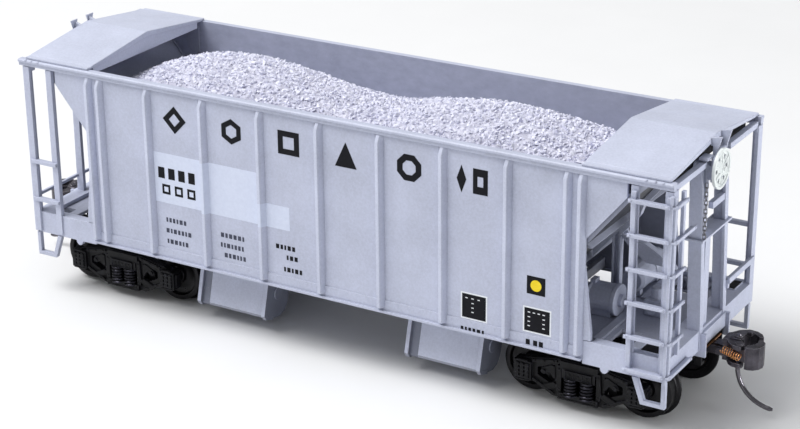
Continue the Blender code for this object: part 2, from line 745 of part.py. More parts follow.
WEIGHT_SPAN = (2.2, 22.6)   # distances up the slope
WEIGHT_T = 1.5
WEIGHT_HALF_W = 13.5


def weight_plate():
    """Steel plate lying on the slope sheet, under the load."""
    low = Vector(SLOPE_LOW)
    along = (Vector(SLOPE_TOP) - low).normalized()
    normal = Vector((-along[1], along[0]))
    start, end = (low + along * d + normal * 0.06 for d in WEIGHT_SPAN)
    thick = normal * WEIGHT_T
    section = [tuple(p) for p in (start, end, end + thick, start + thick)]
    return prism("y", section, -WEIGHT_HALF_W, WEIGHT_HALF_W)


both_ends("weight_plate", weight_plate(), STEEL)

# ------------------------------------------------------- ladders and stirrups
RUNGS = (12.15, 17.75, 23.35, 28.85, 34.35, 39.9)
RUNG_BELOW, RUNG_ABOVE, RUNG_LIP = 0.22, 0.10, 0.34
LONG_RUNGS = {0: -9.9, 4: -10.6}    # rung number: y of its inner end
RUNG_INNER_Y = -13.9


def side_ladder():
    """Two stiles and six lipped treads outside the posts, near side of the B end."""
    adds = [
        box(55.65, 56.40, -18.0, -17.36, 11.3, 41.2),
        box(61.35, 62.05, -18.0, -17.46, 11.3, 41.2),
    ]
    for z in RUNGS:
        adds.append(box(55.50, 62.10, -18.75, -17.46, z - RUNG_BELOW, z + RUNG_ABOVE))
        adds.append(box(55.50, 62.10, -18.85, -18.55, z - RUNG_BELOW, z + RUNG_LIP))
    return fuse(adds)


def end_ladder():
    """Ladder across the end, meeting the side ladder at the near B corner."""
    adds = [
        box(62.26, 62.80, -14.85, -14.15, 14.7, 41.4),
        box(62.26, 62.80, -17.95, -17.35, 11.6, 41.4),
    ]
    for k, z in enumerate(RUNGS):
        inner = LONG_RUNGS.get(k, RUNG_INNER_Y)
        adds.append(box(62.32, 63.15, -18.30, inner, z - RUNG_BELOW, z + RUNG_ABOVE))
        adds.append(box(62.90, 63.20, -18.30, inner, z - RUNG_BELOW, z + RUNG_LIP))
    return fuse(adds)


def stirrup():
    """Sill step under the near B corner: upright, tread and slanting strap."""
    y0, y1 = -17.15, -16.35
    bottom, top = 6.15, 10.55
    strap = [(58.0, bottom), (58.70, 6.45), (57.30, top), (56.45, top)]
    return fuse([
        box(61.40, 62.05, y0, y1, bottom, top),
        box(58.0, 62.05, y0, y1, bottom, 6.80),
        prism("y", strap, y0, y1),
    ])


for name, turned_name, mesh in (
    ("side_ladder_b_near", "side_ladder_a_far", side_ladder()),
    ("end_ladder_b", "end_ladder_a", end_ladder()),
    ("stirrup_b_near", "stirrup_a_far", stirrup()),
):
    piece(name, mesh, PAINT)
    piece(turned_name, half_turn(shifted(mesh, -A_SHORTER)), PAINT)

far_stirrup = mirror_y(stirrup())
piece("stirrup_b_far", far_stirrup, PAINT)
piece("stirrup_a_near", half_turn(shifted(far_stirrup, -A_SHORTER)), PAINT)

# ------------------------------------------------------------------ brake gear
WHEEL_C = (62.95, -2.05, 40.9)
# (x, z) outlines
WHEEL_BRACKET = [
    (61.35, 44.3), (61.30, 45.55), (63.1, 45.9), (62.45, 43.6),
    (62.3, 42.8), (61.75, 42.8), (61.75, 44.3),
]
PLATFORM_BRACKET = [(59.3, 29.8), (62.2, 29.8), (61.8, 29.3), (59.3, 27.0)]
PLATFORM_TOP = 30.0


def brake_platform():
    """Footboard on two brackets, slotted for the collision posts."""
    adds = [box(59.2, 62.35, -5.8, 5.9, 29.65, PLATFORM_TOP)]
    adds += [prism("y", PLATFORM_BRACKET, s * 3.3, s * 3.8) for s in SIDES]
    return fuse(adds, [box(59.6, 61.99, s * 3.93, s * 5.32, 29.0, 31.0) for s in SIDES])


def brake_housing():
    """Gear case, column down to the platform, and brackets at the roof's edge."""
    foot = PLATFORM_TOP + GAP
    adds = [
        # case cover and the arm over it
        box(62.08, 62.40, -3.4, -0.7, 38.9, 43.0),
        box(60.9, 62.35, -5.5, -3.2, 42.95, 43.35),
        # column, an angle in plan
        box(60.3, 61.5, -3.5, -2.7, foot, 41.5),
        box(60.0, 60.9, -3.5, -0.9, foot, 41.5),
        # case body
        box(60.6, 62.3, -3.3, -1.2, 39.2, 41.5),
    ]
    adds += [prism("y", WHEEL_BRACKET, s * BRACKET_Y[0], s * BRACKET_Y[1]) for s in SIDES]
    # bar between the brackets, and the spindle's boss
    adds.append(box(61.75, 62.3, -2.0, 2.0, 42.8, 43.3))
    adds.append(rod("x", WHEEL_C, 1.15, -0.95, -0.35, 14))
    return fuse(adds, [rod("x", WHEEL_C, 0.52, -1.2, 0.5, 12)])


piece("brake_platform", brake_platform(), PAINT)
piece("brake_housing", brake_housing(), PAINT)

SPOKES = 6
WINDOW_R = (1.35, 2.62)     # inner and outer edge of the openings
# (radius, x from the wheel's centre): dished rim, web and hub
HAND_WHEEL_PROFILE = [
    (0, 0.05), (2.2, 0.05), (2.75, 0.0), (3.15, 0.06), (3.25, 0.24), (3.15, 0.42),
    (2.75, 0.48), (2.2, 0.36), (1.1, 0.36), (0.95, 0.6), (0, 0.6),
]


def brake_wheel():
    """Spoked hand wheel with its spindle."""
    x, y, z = WHEEL_C
    windows = []
    for k in range(SPOKES):
        start = math.pi / 3 * k + 0.16
        end = math.pi / 3 * (k + 1) - 0.16
        polar = [(WINDOW_R[1], start + (end - start) * i / 4) for i in range(5)]
        polar += [(WINDOW_R[0], a) for a in (end - 0.12, (start + end) / 2, start + 0.12)]
        outline = [(y + r * math.cos(a), z + r * math.sin(a)) for r, a in polar]
        windows.append(prism("x", outline, x - 0.5, x + 1.0))
    disc = lathe("x", WHEEL_C, HAND_WHEEL_PROFILE, 24)
    return fuse([disc, rod("x", WHEEL_C, 0.42, -0.9, 0.4, 12)], windows)


# the wheel turns on its spindle about X
piece("brake_wheel", brake_wheel(), BRAKE, pivot("brake_wheel_axis", WHEEL_C))

CHAIN_LINKS = 12
CHAIN_PITCH = 0.76
CHAIN_Z0 = 30.5             # middle of the lowest link
LINK_HALF_L = 0.32


def brake_chain():
    """Chain down the outer face of the near collision post, on a thin backing strip."""
    adds = [box(62.00, 62.08, -4.98, -4.82, 30.2, 39.2)]
    for k in range(CHAIN_LINKS):
        z = CHAIN_Z0 + k * CHAIN_PITCH
        # edge-on and flat links by turns
        x0, x1, y0, y1 = (61.97, 62.36, -4.98, -4.82) if k % 2 else (61.98, 62.14, -5.22, -4.58)
        adds.append(box(x0, x1, y0, y1, z - LINK_HALF_L, z + LINK_HALF_L))
    return fuse(adds)


def brake_cylinder():
    """Cylinder along X on a saddle, with end bands, nose and push rod."""
    axis = (0, -4.5, 16.55)
    return fuse([
        rod("x", axis, 2.45, 43.1, 48.2, 20, 0.3),
        rod("x", axis, 2.65, 47.6, 48.4, 20, 0.12),
        rod("x", axis, 2.62, 43.4, 43.9, 20, 0.12),
        rod("x", axis, 1.1, 48.3, 49.1, 12, 0.1),
        rod("x", axis, 0.4, 49.0, 51.4, 8),
        # lug on top, saddle below
        box(43.45, 44.35, -5.3, -3.7, 18.6, 19.5),
        box(44.2, 47.4, -6.2, -2.8, 13.9, 15.2),
    ])


def air_reservoir():
    """Tank across the car with a middle band and two feet."""
    axis = (47.2, 0, 17.2)
    return fuse([
        rod("y", axis, 2.25, 2.2, 12.6, 20, 0.5),
        rod("y", axis, 2.45, 7.1, 7.5, 20, 0.1),
        box(46.2, 48.2, 3.6, 4.6, 13.9, 16.0),
        box(46.2, 48.2, 10.4, 11.4, 13.9, 16.0),
    ])


def control_valve():
    """Block with an upright cap, a cross barrel and a small pad on its inner face."""
    return fuse([
        box(51.6, 54.6, -2.2, 1.2, 13.9, 16.6),
        rod("z", (53.1, -0.5, 0), 1.1, 16.4, 18.4, 14, 0.2),
        rod("y", (53.1, 0, 15.3), 0.85, -3.2, 2.3, 12, 0.12),
        box(51.1, 51.7, -1.6, 0.6, 14.6, 16.0),
    ])


piece("brake_chain", brake_chain(), PAINT)
piece("brake_cylinder", brake_cylinder(), PAINT)
piece("air_reservoir", air_reservoir(), PAINT)
piece("control_valve", control_valve(), PAINT)

# ---------------------------------------------------------------- slope braces
BRACE_Y = (-0.75, 0.45)
BRACE_POST_X = (44.95, 46.40)
# Plates against the slope: (x, depth below the sheet)
BRACE_STRIP = [(41.6, 0.12), (53.2, 0.12), (53.2, 0.95), (41.6, 0.95)]
BRACE_PAD = [(46.2, 0.8), (50.2, 0.8), (49.6, 1.6), (46.6, 1.7)]
BRACE_WEB_TOP = [(45.0, 0.3), (46.6, 0.3)]
# (x, z) outlines of the tapered strut's web, below that edge, and of its flange
BRACE_WEB = [
    (47.9, 25.6), (50.6, 25.1), (53.2, 23.7), (56.8, 21.2), (56.8, 20.2),
    (53.3, 21.9), (50.7, 21.9), (47.4, 24.4), (46.3, 25.6), (45.0, 26.0),
]
BRACE_FLANGE = [
    (46.3, 26.6), (47.9, 25.9), (50.6, 25.4), (53.2, 24.0), (56.8, 21.5),
    (56.8, 21.1), (53.2, 23.6), (50.6, 25.0), (47.9, 25.5), (46.3, 26.2),
]


def under_slope(points):
    """Turn (x, depth below the sheet) pairs into (x, z)."""
    return [
        (x, SLOPE_TOP[1] - (SLOPE_TOP[0] - x) * math.tan(SLOPE_ANGLE)
         - (SLOPE_T + depth) / math.cos(SLOPE_ANGLE))
        for x, depth in points
    ]


def slope_brace():
    """Channel post over the truck, a strip along the slope and a tapered strut."""
    y0, y1 = BRACE_Y
    x0, x1 = BRACE_POST_X
    adds = [
        box(x0, 45.30, y0, y1, 14.3, 26.2),
        box(46.05, x1, y0, y1, 14.3, 27.2),
        box(x0, x1, 0.10, y1, 14.3, 26.6),
        # foot plate
        box(44.6, 46.75, -0.8, 0.9, 13.92, 14.4),
        prism("y", under_slope(BRACE_STRIP), y0, y1),
        prism("y", under_slope(BRACE_PAD), y0, y1),
        prism("y", under_slope(BRACE_WEB_TOP) + BRACE_WEB, -0.25, 0.20),
        prism("y", BRACE_FLANGE, y0, y1),
    ]
    # clearance round the sheet's upper stiffener
    x, z = slope_point(STIFFENERS[1])
    drop_x, drop_z = SKIN_X * 1.8, SKIN_Z * 1.8
    clearance = [
        (x - 0.12, z + 0.1), (x + 0.82, z + 0.1),
        (x + 0.82 + drop_x, z - 0.04 + drop_z), (x + drop_x - 0.02, z - 0.14 + drop_z),
    ]
    return fuse(adds, [prism("y", clearance, -1.2, 1.2)])


both_ends("slope_brace", slope_brace(), PAINT)

# --------------------------------------------------------------- coupler boxes
BOX_X0 = 51.1
BOX_HALF_W = 3.6
BOX_TOP = 11.65
BOX_ROOF = 11.20        # underside of the box's top


def coupler_box():
    """Draft gear box, open at its outer end and below, with the coupler's post."""
    shell = fuse(
        [
            box(BOX_X0, 62.2, -BOX_HALF_W, BOX_HALF_W, 8.60, BOX_TOP),
            box(61.35, 62.5, -4.2, 4.2, 8.30, BOX_TOP),
        ],
        [
            box(51.8, 64.0, -3.0, 3.0, 8.0, BOX_ROOF),
            box(61.0, 64.0, -3.85, 3.85, 8.75, BOX_ROOF),
        ],
    )
    return fuse([shell, rod("z", (PIVOT_X, 0, 0), 0.95, 8.62, 11.4, 16)])


def coupler_box_lid():
    """Bottom lid with a slotted screw head."""
    return fuse(
        [
            box(BOX_X0, 61.3, -BOX_HALF_W, BOX_HALF_W, 8.0, 8.55),
            rod("z", (PIVOT_X, 0, 0), 1.3, 7.7, 8.2, 12),
        ],
        [box(PIVOT_X - 1.0, PIVOT_X + 1.0, -0.18, 0.18, 7.5, 7.9)],
    )


both_ends("coupler_box", coupler_box(), BLACK)
both_ends("coupler_box_lid", coupler_box_lid(), BLACK)

# -------------------------------------------------------------------- couplers
SHANK_Z = (9.25, 10.75)
HEAD_Z = (8.70, 12.40)
LUG_T = 0.70
HOOK_Z = (9.50, 11.60)
# (x, y) outlines
SHANK = [
    (55.6, -1.3), (58.0, -1.0), (63.6, -1.0), (65.0, -1.3),
    (65.0, 1.3), (63.6, 1.0), (58.0, 1.0), (55.6, 1.3),
]
HEAD = [
    (64.7, -1.2), (65.3, -1.2), (66.3, -1.1), (67.2, -0.6), (67.75, 0.1), (67.3, 0.9),
    (67.2, 1.7), (67.8, 2.55), (68.8, 2.65), (69.6, 1.9), (70.2, 2.2), (69.6, 3.1),
    (68.6, 3.75), (67.2, 3.85), (65.9, 2.95), (65.1, 1.6), (64.7, 1.3),
]
LUG = [
    (65.3, -1.0), (66.2, -2.35), (67.0, -2.9), (68.3, -2.9),
    (68.6, -1.9), (68.0, -1.15), (66.9, 0.3), (65.3, 0.5),
]
KNUCKLE_ARM = [
    (67.3, -2.25), (68.8, -2.25), (69.4, -2.7), (70.6, -2.2), (70.9, -0.6),
    (70.3, -0.4), (69.8, -0.9), (69.2, -1.45), (68.2, -1.4), (67.4, -1.5),
]
KNUCKLE_FACE = [
    (69.05, -2.85), (69.6, -2.92), (70.4, -2.65), (71.1, -1.95), (71.4, -0.9), (71.2, 0.25),
    (70.5, 0.95), (69.9, 0.8), (70.15, -0.1), (70.0, -0.9), (69.5, -1.5), (69.1, -1.75),
]


def coupler():
    """Shank with its pivot ring, and head with the guard arm and knuckle lugs."""
    z0, z1 = SHANK_Z
    low, high = HEAD_Z
    ring = [(0, z0), (1.85, z0), (2.0, z0 + 0.12), (2.0, z1 - 0.12), (1.85, z1), (0, z1)]
    adds = [
        lathe("z", (PIVOT_X, 0, 0), ring, 18),
        prism("z", SHANK, z0 + 0.05, z1 - 0.05),
        prism("z", HEAD, low, high),
        prism("z", LUG, high - LUG_T, high),
        prism("z", LUG, low, low + LUG_T),
        # trip pin boss
        rod("z", (*TRIP_PIN, 0), 0.72, 8.1, 12.85, 12),
    ]
    cuts = [
        rod("z", (PIVOT_X, 0, 0), 1.07, 8, 12, 16),
        rod("z", (*TRIP_PIN, 0), 0.45, 7, 13.2, 10),
        rod("z", (*KNUCKLE, 0), 0.42, 8, 13, 10),
    ]
    return fuse(adds, cuts)


def knuckle():
    """Hooked knuckle with a tall outer face, on its pin."""
    low, high = HOOK_Z
    return fuse([
        prism("z", KNUCKLE_ARM, low, high),
        prism("z", KNUCKLE_FACE, 8.70, 12.45),
        rod("z", (*KNUCKLE, 0), 0.34, low - 0.62, high + 0.62, 10),
    ])


def trip_pin():
    """Wire down through the head, then curved outwards below it."""
    x, y = TRIP_PIN
    bend_z = 7.4
    path = [(x, y, 13.1), (x, y, bend_z)]
    for i in range(1, 8):
        a = math.radians(88) * i / 7
        path.append((x + 6.4 * (1 - math.cos(a)), y, bend_z - 6.1 * math.sin(a)))
    return sweep(path, round_section(0.38, 8))


def knuckle_spring():
    """Wire coil between the head and the knuckle."""
    start, end = Vector((65.25, -2.10, 11.05)), Vector((68.30, -3.05, 10.72))
    radius, wire, turns, steps = 0.48, 0.12, 6, 8
    axis = (end - start).normalized()
    first = axis.cross(Vector((0, 0, 1))).normalized()
    second = axis.cross(first)
    count = turns * steps
    path = []
    for i in range(count + 1):
        a = 2 * math.pi * i / steps
        offset = first * (radius * math.cos(a)) + second * (radius * math.sin(a))
        path.append(start + (end - start) * (i / count) + offset)
    return sweep(path, round_section(wire, 4))


def centring_spring():
    """Two side leaves joined by a plate at each end."""
    z = 10.98
    # (x, distance from the centre line) along a leaf
    leaf = [(53.3, 1.9), (53.3, 2.72), (56.5, 2.62), (61.0, 1.9)]
    adds = [sweep([(x, s * y, z) for x, y in leaf], flat_section(0.09, 0.14)) for s in SIDES]
    adds.append(box(52.4, 53.42, -2.8, 2.8, 10.90, 11.06))
    adds.append(box(60.6, 62.8, -2.95, 2.95, 10.95, 11.10))
    return fuse(adds)


coupler_parts = (
    ("coupler", coupler(), DARK),
    ("trip_pin", trip_pin(), DARK),
    ("knuckle_spring", knuckle_spring(), BRONZE),
)
knuckle_mesh = knuckle()
for end, s in (("b", 1), ("a", -1)):
    turn = half_turn if end == "a" else moved_none if False else (lambda mesh: mesh)
    swing = pivot(f"coupler_{end}_pivot", (s * PIVOT_X, 0, COUPLER_Z))
    pin_at = (s * KNUCKLE[0], s * KNUCKLE[1], COUPLER_Z)
    knuckle_pin = pivot(f"knuckle_{end}_pin", pin_at, swing)
    for name, mesh, mat in coupler_parts:
        piece(f"{name}_{end}", turn(mesh), mat, swing)
    piece(f"knuckle_{end}", turn(knuckle_mesh), DARK, knuckle_pin)
both_ends("centring_spring", centring_spring(), BRONZE)

# ---------------------------------------------------------------------- trucks
# (x, z) outlines about the truck's centre
FRAME_OUTLINE = [
    (-11.5, 3.5), (-8.5, 3.3), (-4.6, 1.25), (4.6, 1.25), (8.5, 3.3), (11.5, 3.5),
    (11.7, 5.9), (8.8, 7.1), (4.0, 8.0), (-4.0, 8.0), (-8.8, 7.1), (-11.7, 5.9),
]
FRAME_OPENING = [(4.35, 2.9), (7.5, 4.4), (7.5, 5.7), (4.35, 6.75)]
SPRING_WINDOW = [(-3.1, 2.35), (3.1, 2.35), (3.1, 7.0), (-3.1, 7.0)]
SHOE_HANGER = [(4.6, 2.2), (5.7, 1.9), (6.3, 3.2), (5.3, 5.8), (4.5, 5.8)]
# (y, z) section of the truck bolster
TRUCK_BOLSTER = [
    (-11.6, 5.3), (-11.6, 6.9), (-4.0, 8.1), (4.0, 8.1),
    (11.6, 6.9), (11.6, 5.3), (4.0, 5.0), (-4.0, 5.0),
]
# (radius, z) of a spring, as alternate wide and narrow rings
SPRING_PROFILE = (
    [(0, 2.0)] + [(r, 2.3 + 0.5 * i) for i, r in enumerate((1.2, 0.95) * 3)] + [(0, 5.4)]
)
# (radius, distance from the centre line) of the bearing cone for the axle's tip
BEARING = [(0, 12.45), (0.5, 12.2), (1.55, 11.0), (1.55, 10.8), (0, 10.8)]
# Arch bar beads: ends as (x, z), for the upper and the lower bar
BEADS = (((8.3, 6.75), (3.9, 7.65)), ((8.2, 3.55), (4.4, 1.7)))


def side_plate(s):
    """Side frame plate on side s, with its three openings."""
    cuts = [
        prism("y", [(k * x, z) for x, z in FRAME_OPENING], s * 10.5, s * 14) for k in SIDES
    ]
    cuts.append(prism("y", SPRING_WINDOW, s * 10.5, s * 14))
    return fuse([prism("y", FRAME_OUTLINE, s * 11.15, s * 12.55)], cuts)


def side_details(s, k):
    """Parts on side s of the truck, in its half towards k along X."""
    x = k * AXLE_HALF
    # journal housing and the ribs of its end cover
    parts = [box(x - 1.55, x + 1.55, s * 11.0, s * 13.2, 3.2, 6.5)]
    for j in (-1, 0, 1):
        rib_x = x + j * 0.85
        parts.append(box(rib_x - 0.26, rib_x + 0.26, s * 13.1, s * 13.5, 3.5, 6.2))
    for (x0, z0), (x1, z1) in BEADS:
        path = [(k * x0, s * 12.7, z0), (k * x1, s * 12.7, z1)]
        parts.append(sweep(path, flat_section(0.25, 0.225)))
    hanger = [(k * hanger_x, z) for hanger_x, z in SHOE_HANGER]
    parts.append(prism("y", hanger, s * 10.2, s * 11.4))
    parts.append(lathe("z", (k * 1.45, s * 12.35, 0), SPRING_PROFILE, 8))
    return parts


def truck_frame():
    """Two side frames, the bolster with its centre bowl, and the brake beams."""
    adds = [side_plate(s) for s in SIDES]
    for s in SIDES:
        for k in SIDES:
            adds += side_details(s, k)
        # bolster end in the window, its cap, and the spring seat
        adds.append(box(-2.9, 2.9, s * 10.6, s * 13.1, 5.15, 6.75))
        adds.append(box(-3.3, 3.3, s * 11.6, s * 13.0, 6.65, 7.95))
        adds.append(box(-3.5, 3.5, s * 11.6, s * 13.2, 1.35, 2.4))
    adds.append(prism("x", TRUCK_BOLSTER, -2.3, 2.3))
    adds.append(rod("z", (0, 0, 0), 3.0, 7.0, 8.55, 14))
    # brake beams between the wheels, tied to the bolster
    for k in SIDES:
        adds.append(box(k * 3.4, k * 4.2, -11.3, 11.3, 3.2, 4.2))
        adds.append(box(k * 2.0, k * 3.8, -0.6, 0.6, 3.4, 5.4))
    frame = fuse(adds)
    holes = [
        lathe("y", (k * AXLE_HALF, 0, WHEEL_R), [(r, s * y) for r, y in BEARING], 12)
        for s in SIDES for k in SIDES
    ]
    holes.append(rod("z", (0, 0, 0), 0.95, 4.0, 9.0, 12))
    return fuse([frame], holes)


WHEEL_BACK = 7.25       # wheel's inner face from the centre line
WHEEL_FACE = 10.00      # wheel's outer face
AXLE_TIP = 12.05
# (radius, y) of the near half: pointed axle end, dished face, tread and flange
WHEEL_PROFILE = [
    (0, -AXLE_TIP), (0.85, -11.05), (0.85, -10.1), (1.55, -10.05), (1.75, -9.2),
    (3.75, -9.2), (4.05, -WHEEL_FACE), (WHEEL_R, -WHEEL_FACE), (WHEEL_R, -8.0),
    (FLANGE_R, -7.65), (5.35, -WHEEL_BACK), (0.95, -WHEEL_BACK),
]
# (radius, z)
SCREW_PROFILE = [
    (0, 4.35), (1.35, 4.35), (1.55, 4.6), (1.55, 4.92), (0.75, 4.92), (0.75, 12.2), (0, 12.3),
]


def wheelset():
    """Axle and two flanged wheels, turned in one profile."""
    profile = WHEEL_PROFILE + [(r, -y) for r, y in reversed(WHEEL_PROFILE)]
    return lathe("y", (0, 0, WHEEL_R), profile, WHEEL_SIDES)


def truck_screw():
    """Slotted screw, its head below the bolster."""
    slot = box(-1.2, 1.2, -0.16, 0.16, 4.0, 4.6)
    return fuse([lathe("z", (0, 0, 0), SCREW_PROFILE, 14)], [slot])


frame_mesh, wheelset_mesh, screw_mesh = truck_frame(), wheelset(), truck_screw()
for end, s in (("a", -1), ("b", 1)):
    truck_x = s * TRUCK_X
    swivel = pivot(f"truck_{end}_pivot", (truck_x, 0, TRUCK_PIVOT_Z))
    piece(f"truck_frame_{end}", shifted(frame_mesh, truck_x), BLACK, swivel)
    piece(f"truck_screw_{end}", shifted(screw_mesh, truck_x), STEEL)
    for side, k in (("outer", s), ("inner", -s)):
        x = truck_x + k * AXLE_HALF
        axle = pivot(f"axle_{end}_{side}", (x, 0, WHEEL_R), swivel)
        piece(f"wheelset_{end}_{side}", shifted(wheelset_mesh, x), WHEEL, axle)
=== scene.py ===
"""Looks of a two-bay hopper car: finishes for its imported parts, and the fine pieces
(gravel, turned wheels, springs, rivets, truck castings, painted marks) built round them.

The car lies along X, its brake end (end b) at +X and its near side facing -Y.
Lengths passed to Kit are millimetres above the rail top.  The car stands on its wheel
flanges, so the floor is LIFT below the rail top.  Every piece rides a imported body.
"""

import math
import random
from functools import cached_property

import bmesh
import bpy
import numpy as np
from mathutils import Matrix, Vector
from mathutils.bvhtree import BVHTree


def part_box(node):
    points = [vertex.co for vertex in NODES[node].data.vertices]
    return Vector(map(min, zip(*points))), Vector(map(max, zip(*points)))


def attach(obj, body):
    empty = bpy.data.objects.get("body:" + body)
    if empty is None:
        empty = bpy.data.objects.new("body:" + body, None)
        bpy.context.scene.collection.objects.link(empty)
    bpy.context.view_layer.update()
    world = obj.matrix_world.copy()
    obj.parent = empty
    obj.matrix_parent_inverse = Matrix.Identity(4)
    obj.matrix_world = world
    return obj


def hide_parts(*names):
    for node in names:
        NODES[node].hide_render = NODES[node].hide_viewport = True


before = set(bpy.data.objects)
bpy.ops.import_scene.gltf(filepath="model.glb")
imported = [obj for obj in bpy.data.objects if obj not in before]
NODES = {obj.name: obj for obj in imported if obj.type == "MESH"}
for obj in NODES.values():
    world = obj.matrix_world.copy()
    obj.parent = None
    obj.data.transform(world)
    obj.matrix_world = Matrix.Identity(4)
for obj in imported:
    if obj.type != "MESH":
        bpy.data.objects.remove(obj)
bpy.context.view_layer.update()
SCENE = bpy.context.scene

# Driving sizes, in mm
MM = 0.001
WHEEL_RADIUS = 4.80  # tread, and so the height of the axles
FLANGE_RADIUS = 5.45
LIFT = FLANGE_RADIUS * math.cos(math.pi / 18) - WHEEL_RADIUS
TRUCK_X = 45.5  # truck centre from the middle of the car
AXLE_X = 9.9  # axle from its truck's centre
SHEET_Y = 17.05  # outer face of the side sheets
BAND_Y = 17.20  # outer face of the band under them
END_A_INSET = 0.70  # how much nearer the middle some end fittings sit at end a

ENDS = (("a", -1), ("b", 1))
SIDES = (-1, 1)


# ============================================================ mesh building kit
def unit(vector):
    vector = np.asarray(vector, float)
    return vector / np.linalg.norm(vector)


def about(middle, half):
    """Range reaching half to each side of middle."""
    return middle - half, middle + half


def signed(sign, values):
    return tuple(sign * value for value in values)


def flipped(outline, sign):
    """Outline with its first coordinate multiplied by sign."""
    return [(sign * u, v) for u, v in outline]


# Two directions across each axis, then the axis itself
AXES = {
    "x": ((0, 1, 0), (0, 0, 1), (1, 0, 0)),
    "y": ((0, 0, 1), (1, 0, 0), (0, 1, 0)),
    "z": ((1, 0, 0), (0, 1, 0), (0, 0, 1)),
}

# Point at a distance t along an axis, from a point p of an outline drawn across it
PLACE = {
    "x": lambda p, t: (t, p[0], p[1]),
    "y": lambda p, t: (p[0], t, p[1]),
    "z": lambda p, t: (p[0], p[1], t),
}


def inset_outline(points, distance):
    """Counter-clockwise outline moved inwards, with its mitres limited."""
    before = points - np.roll(points, 1, 0)
    after = np.roll(points, -1, 0) - points
    before /= np.linalg.norm(before, axis=1)[:, None]
    after /= np.linalg.norm(after, axis=1)[:, None]
    normal = np.stack([-before[:, 1], before[:, 0]], 1)
    mitre = normal + np.stack([-after[:, 1], after[:, 0]], 1)
    mitre /= np.maximum(np.linalg.norm(mitre, axis=1)[:, None], 1e-6)
    reach = np.clip(1.0 / np.maximum((mitre * normal).sum(1), 0.35), 1.0, 2.0)
    return points + mitre * (distance * reach)[:, None]


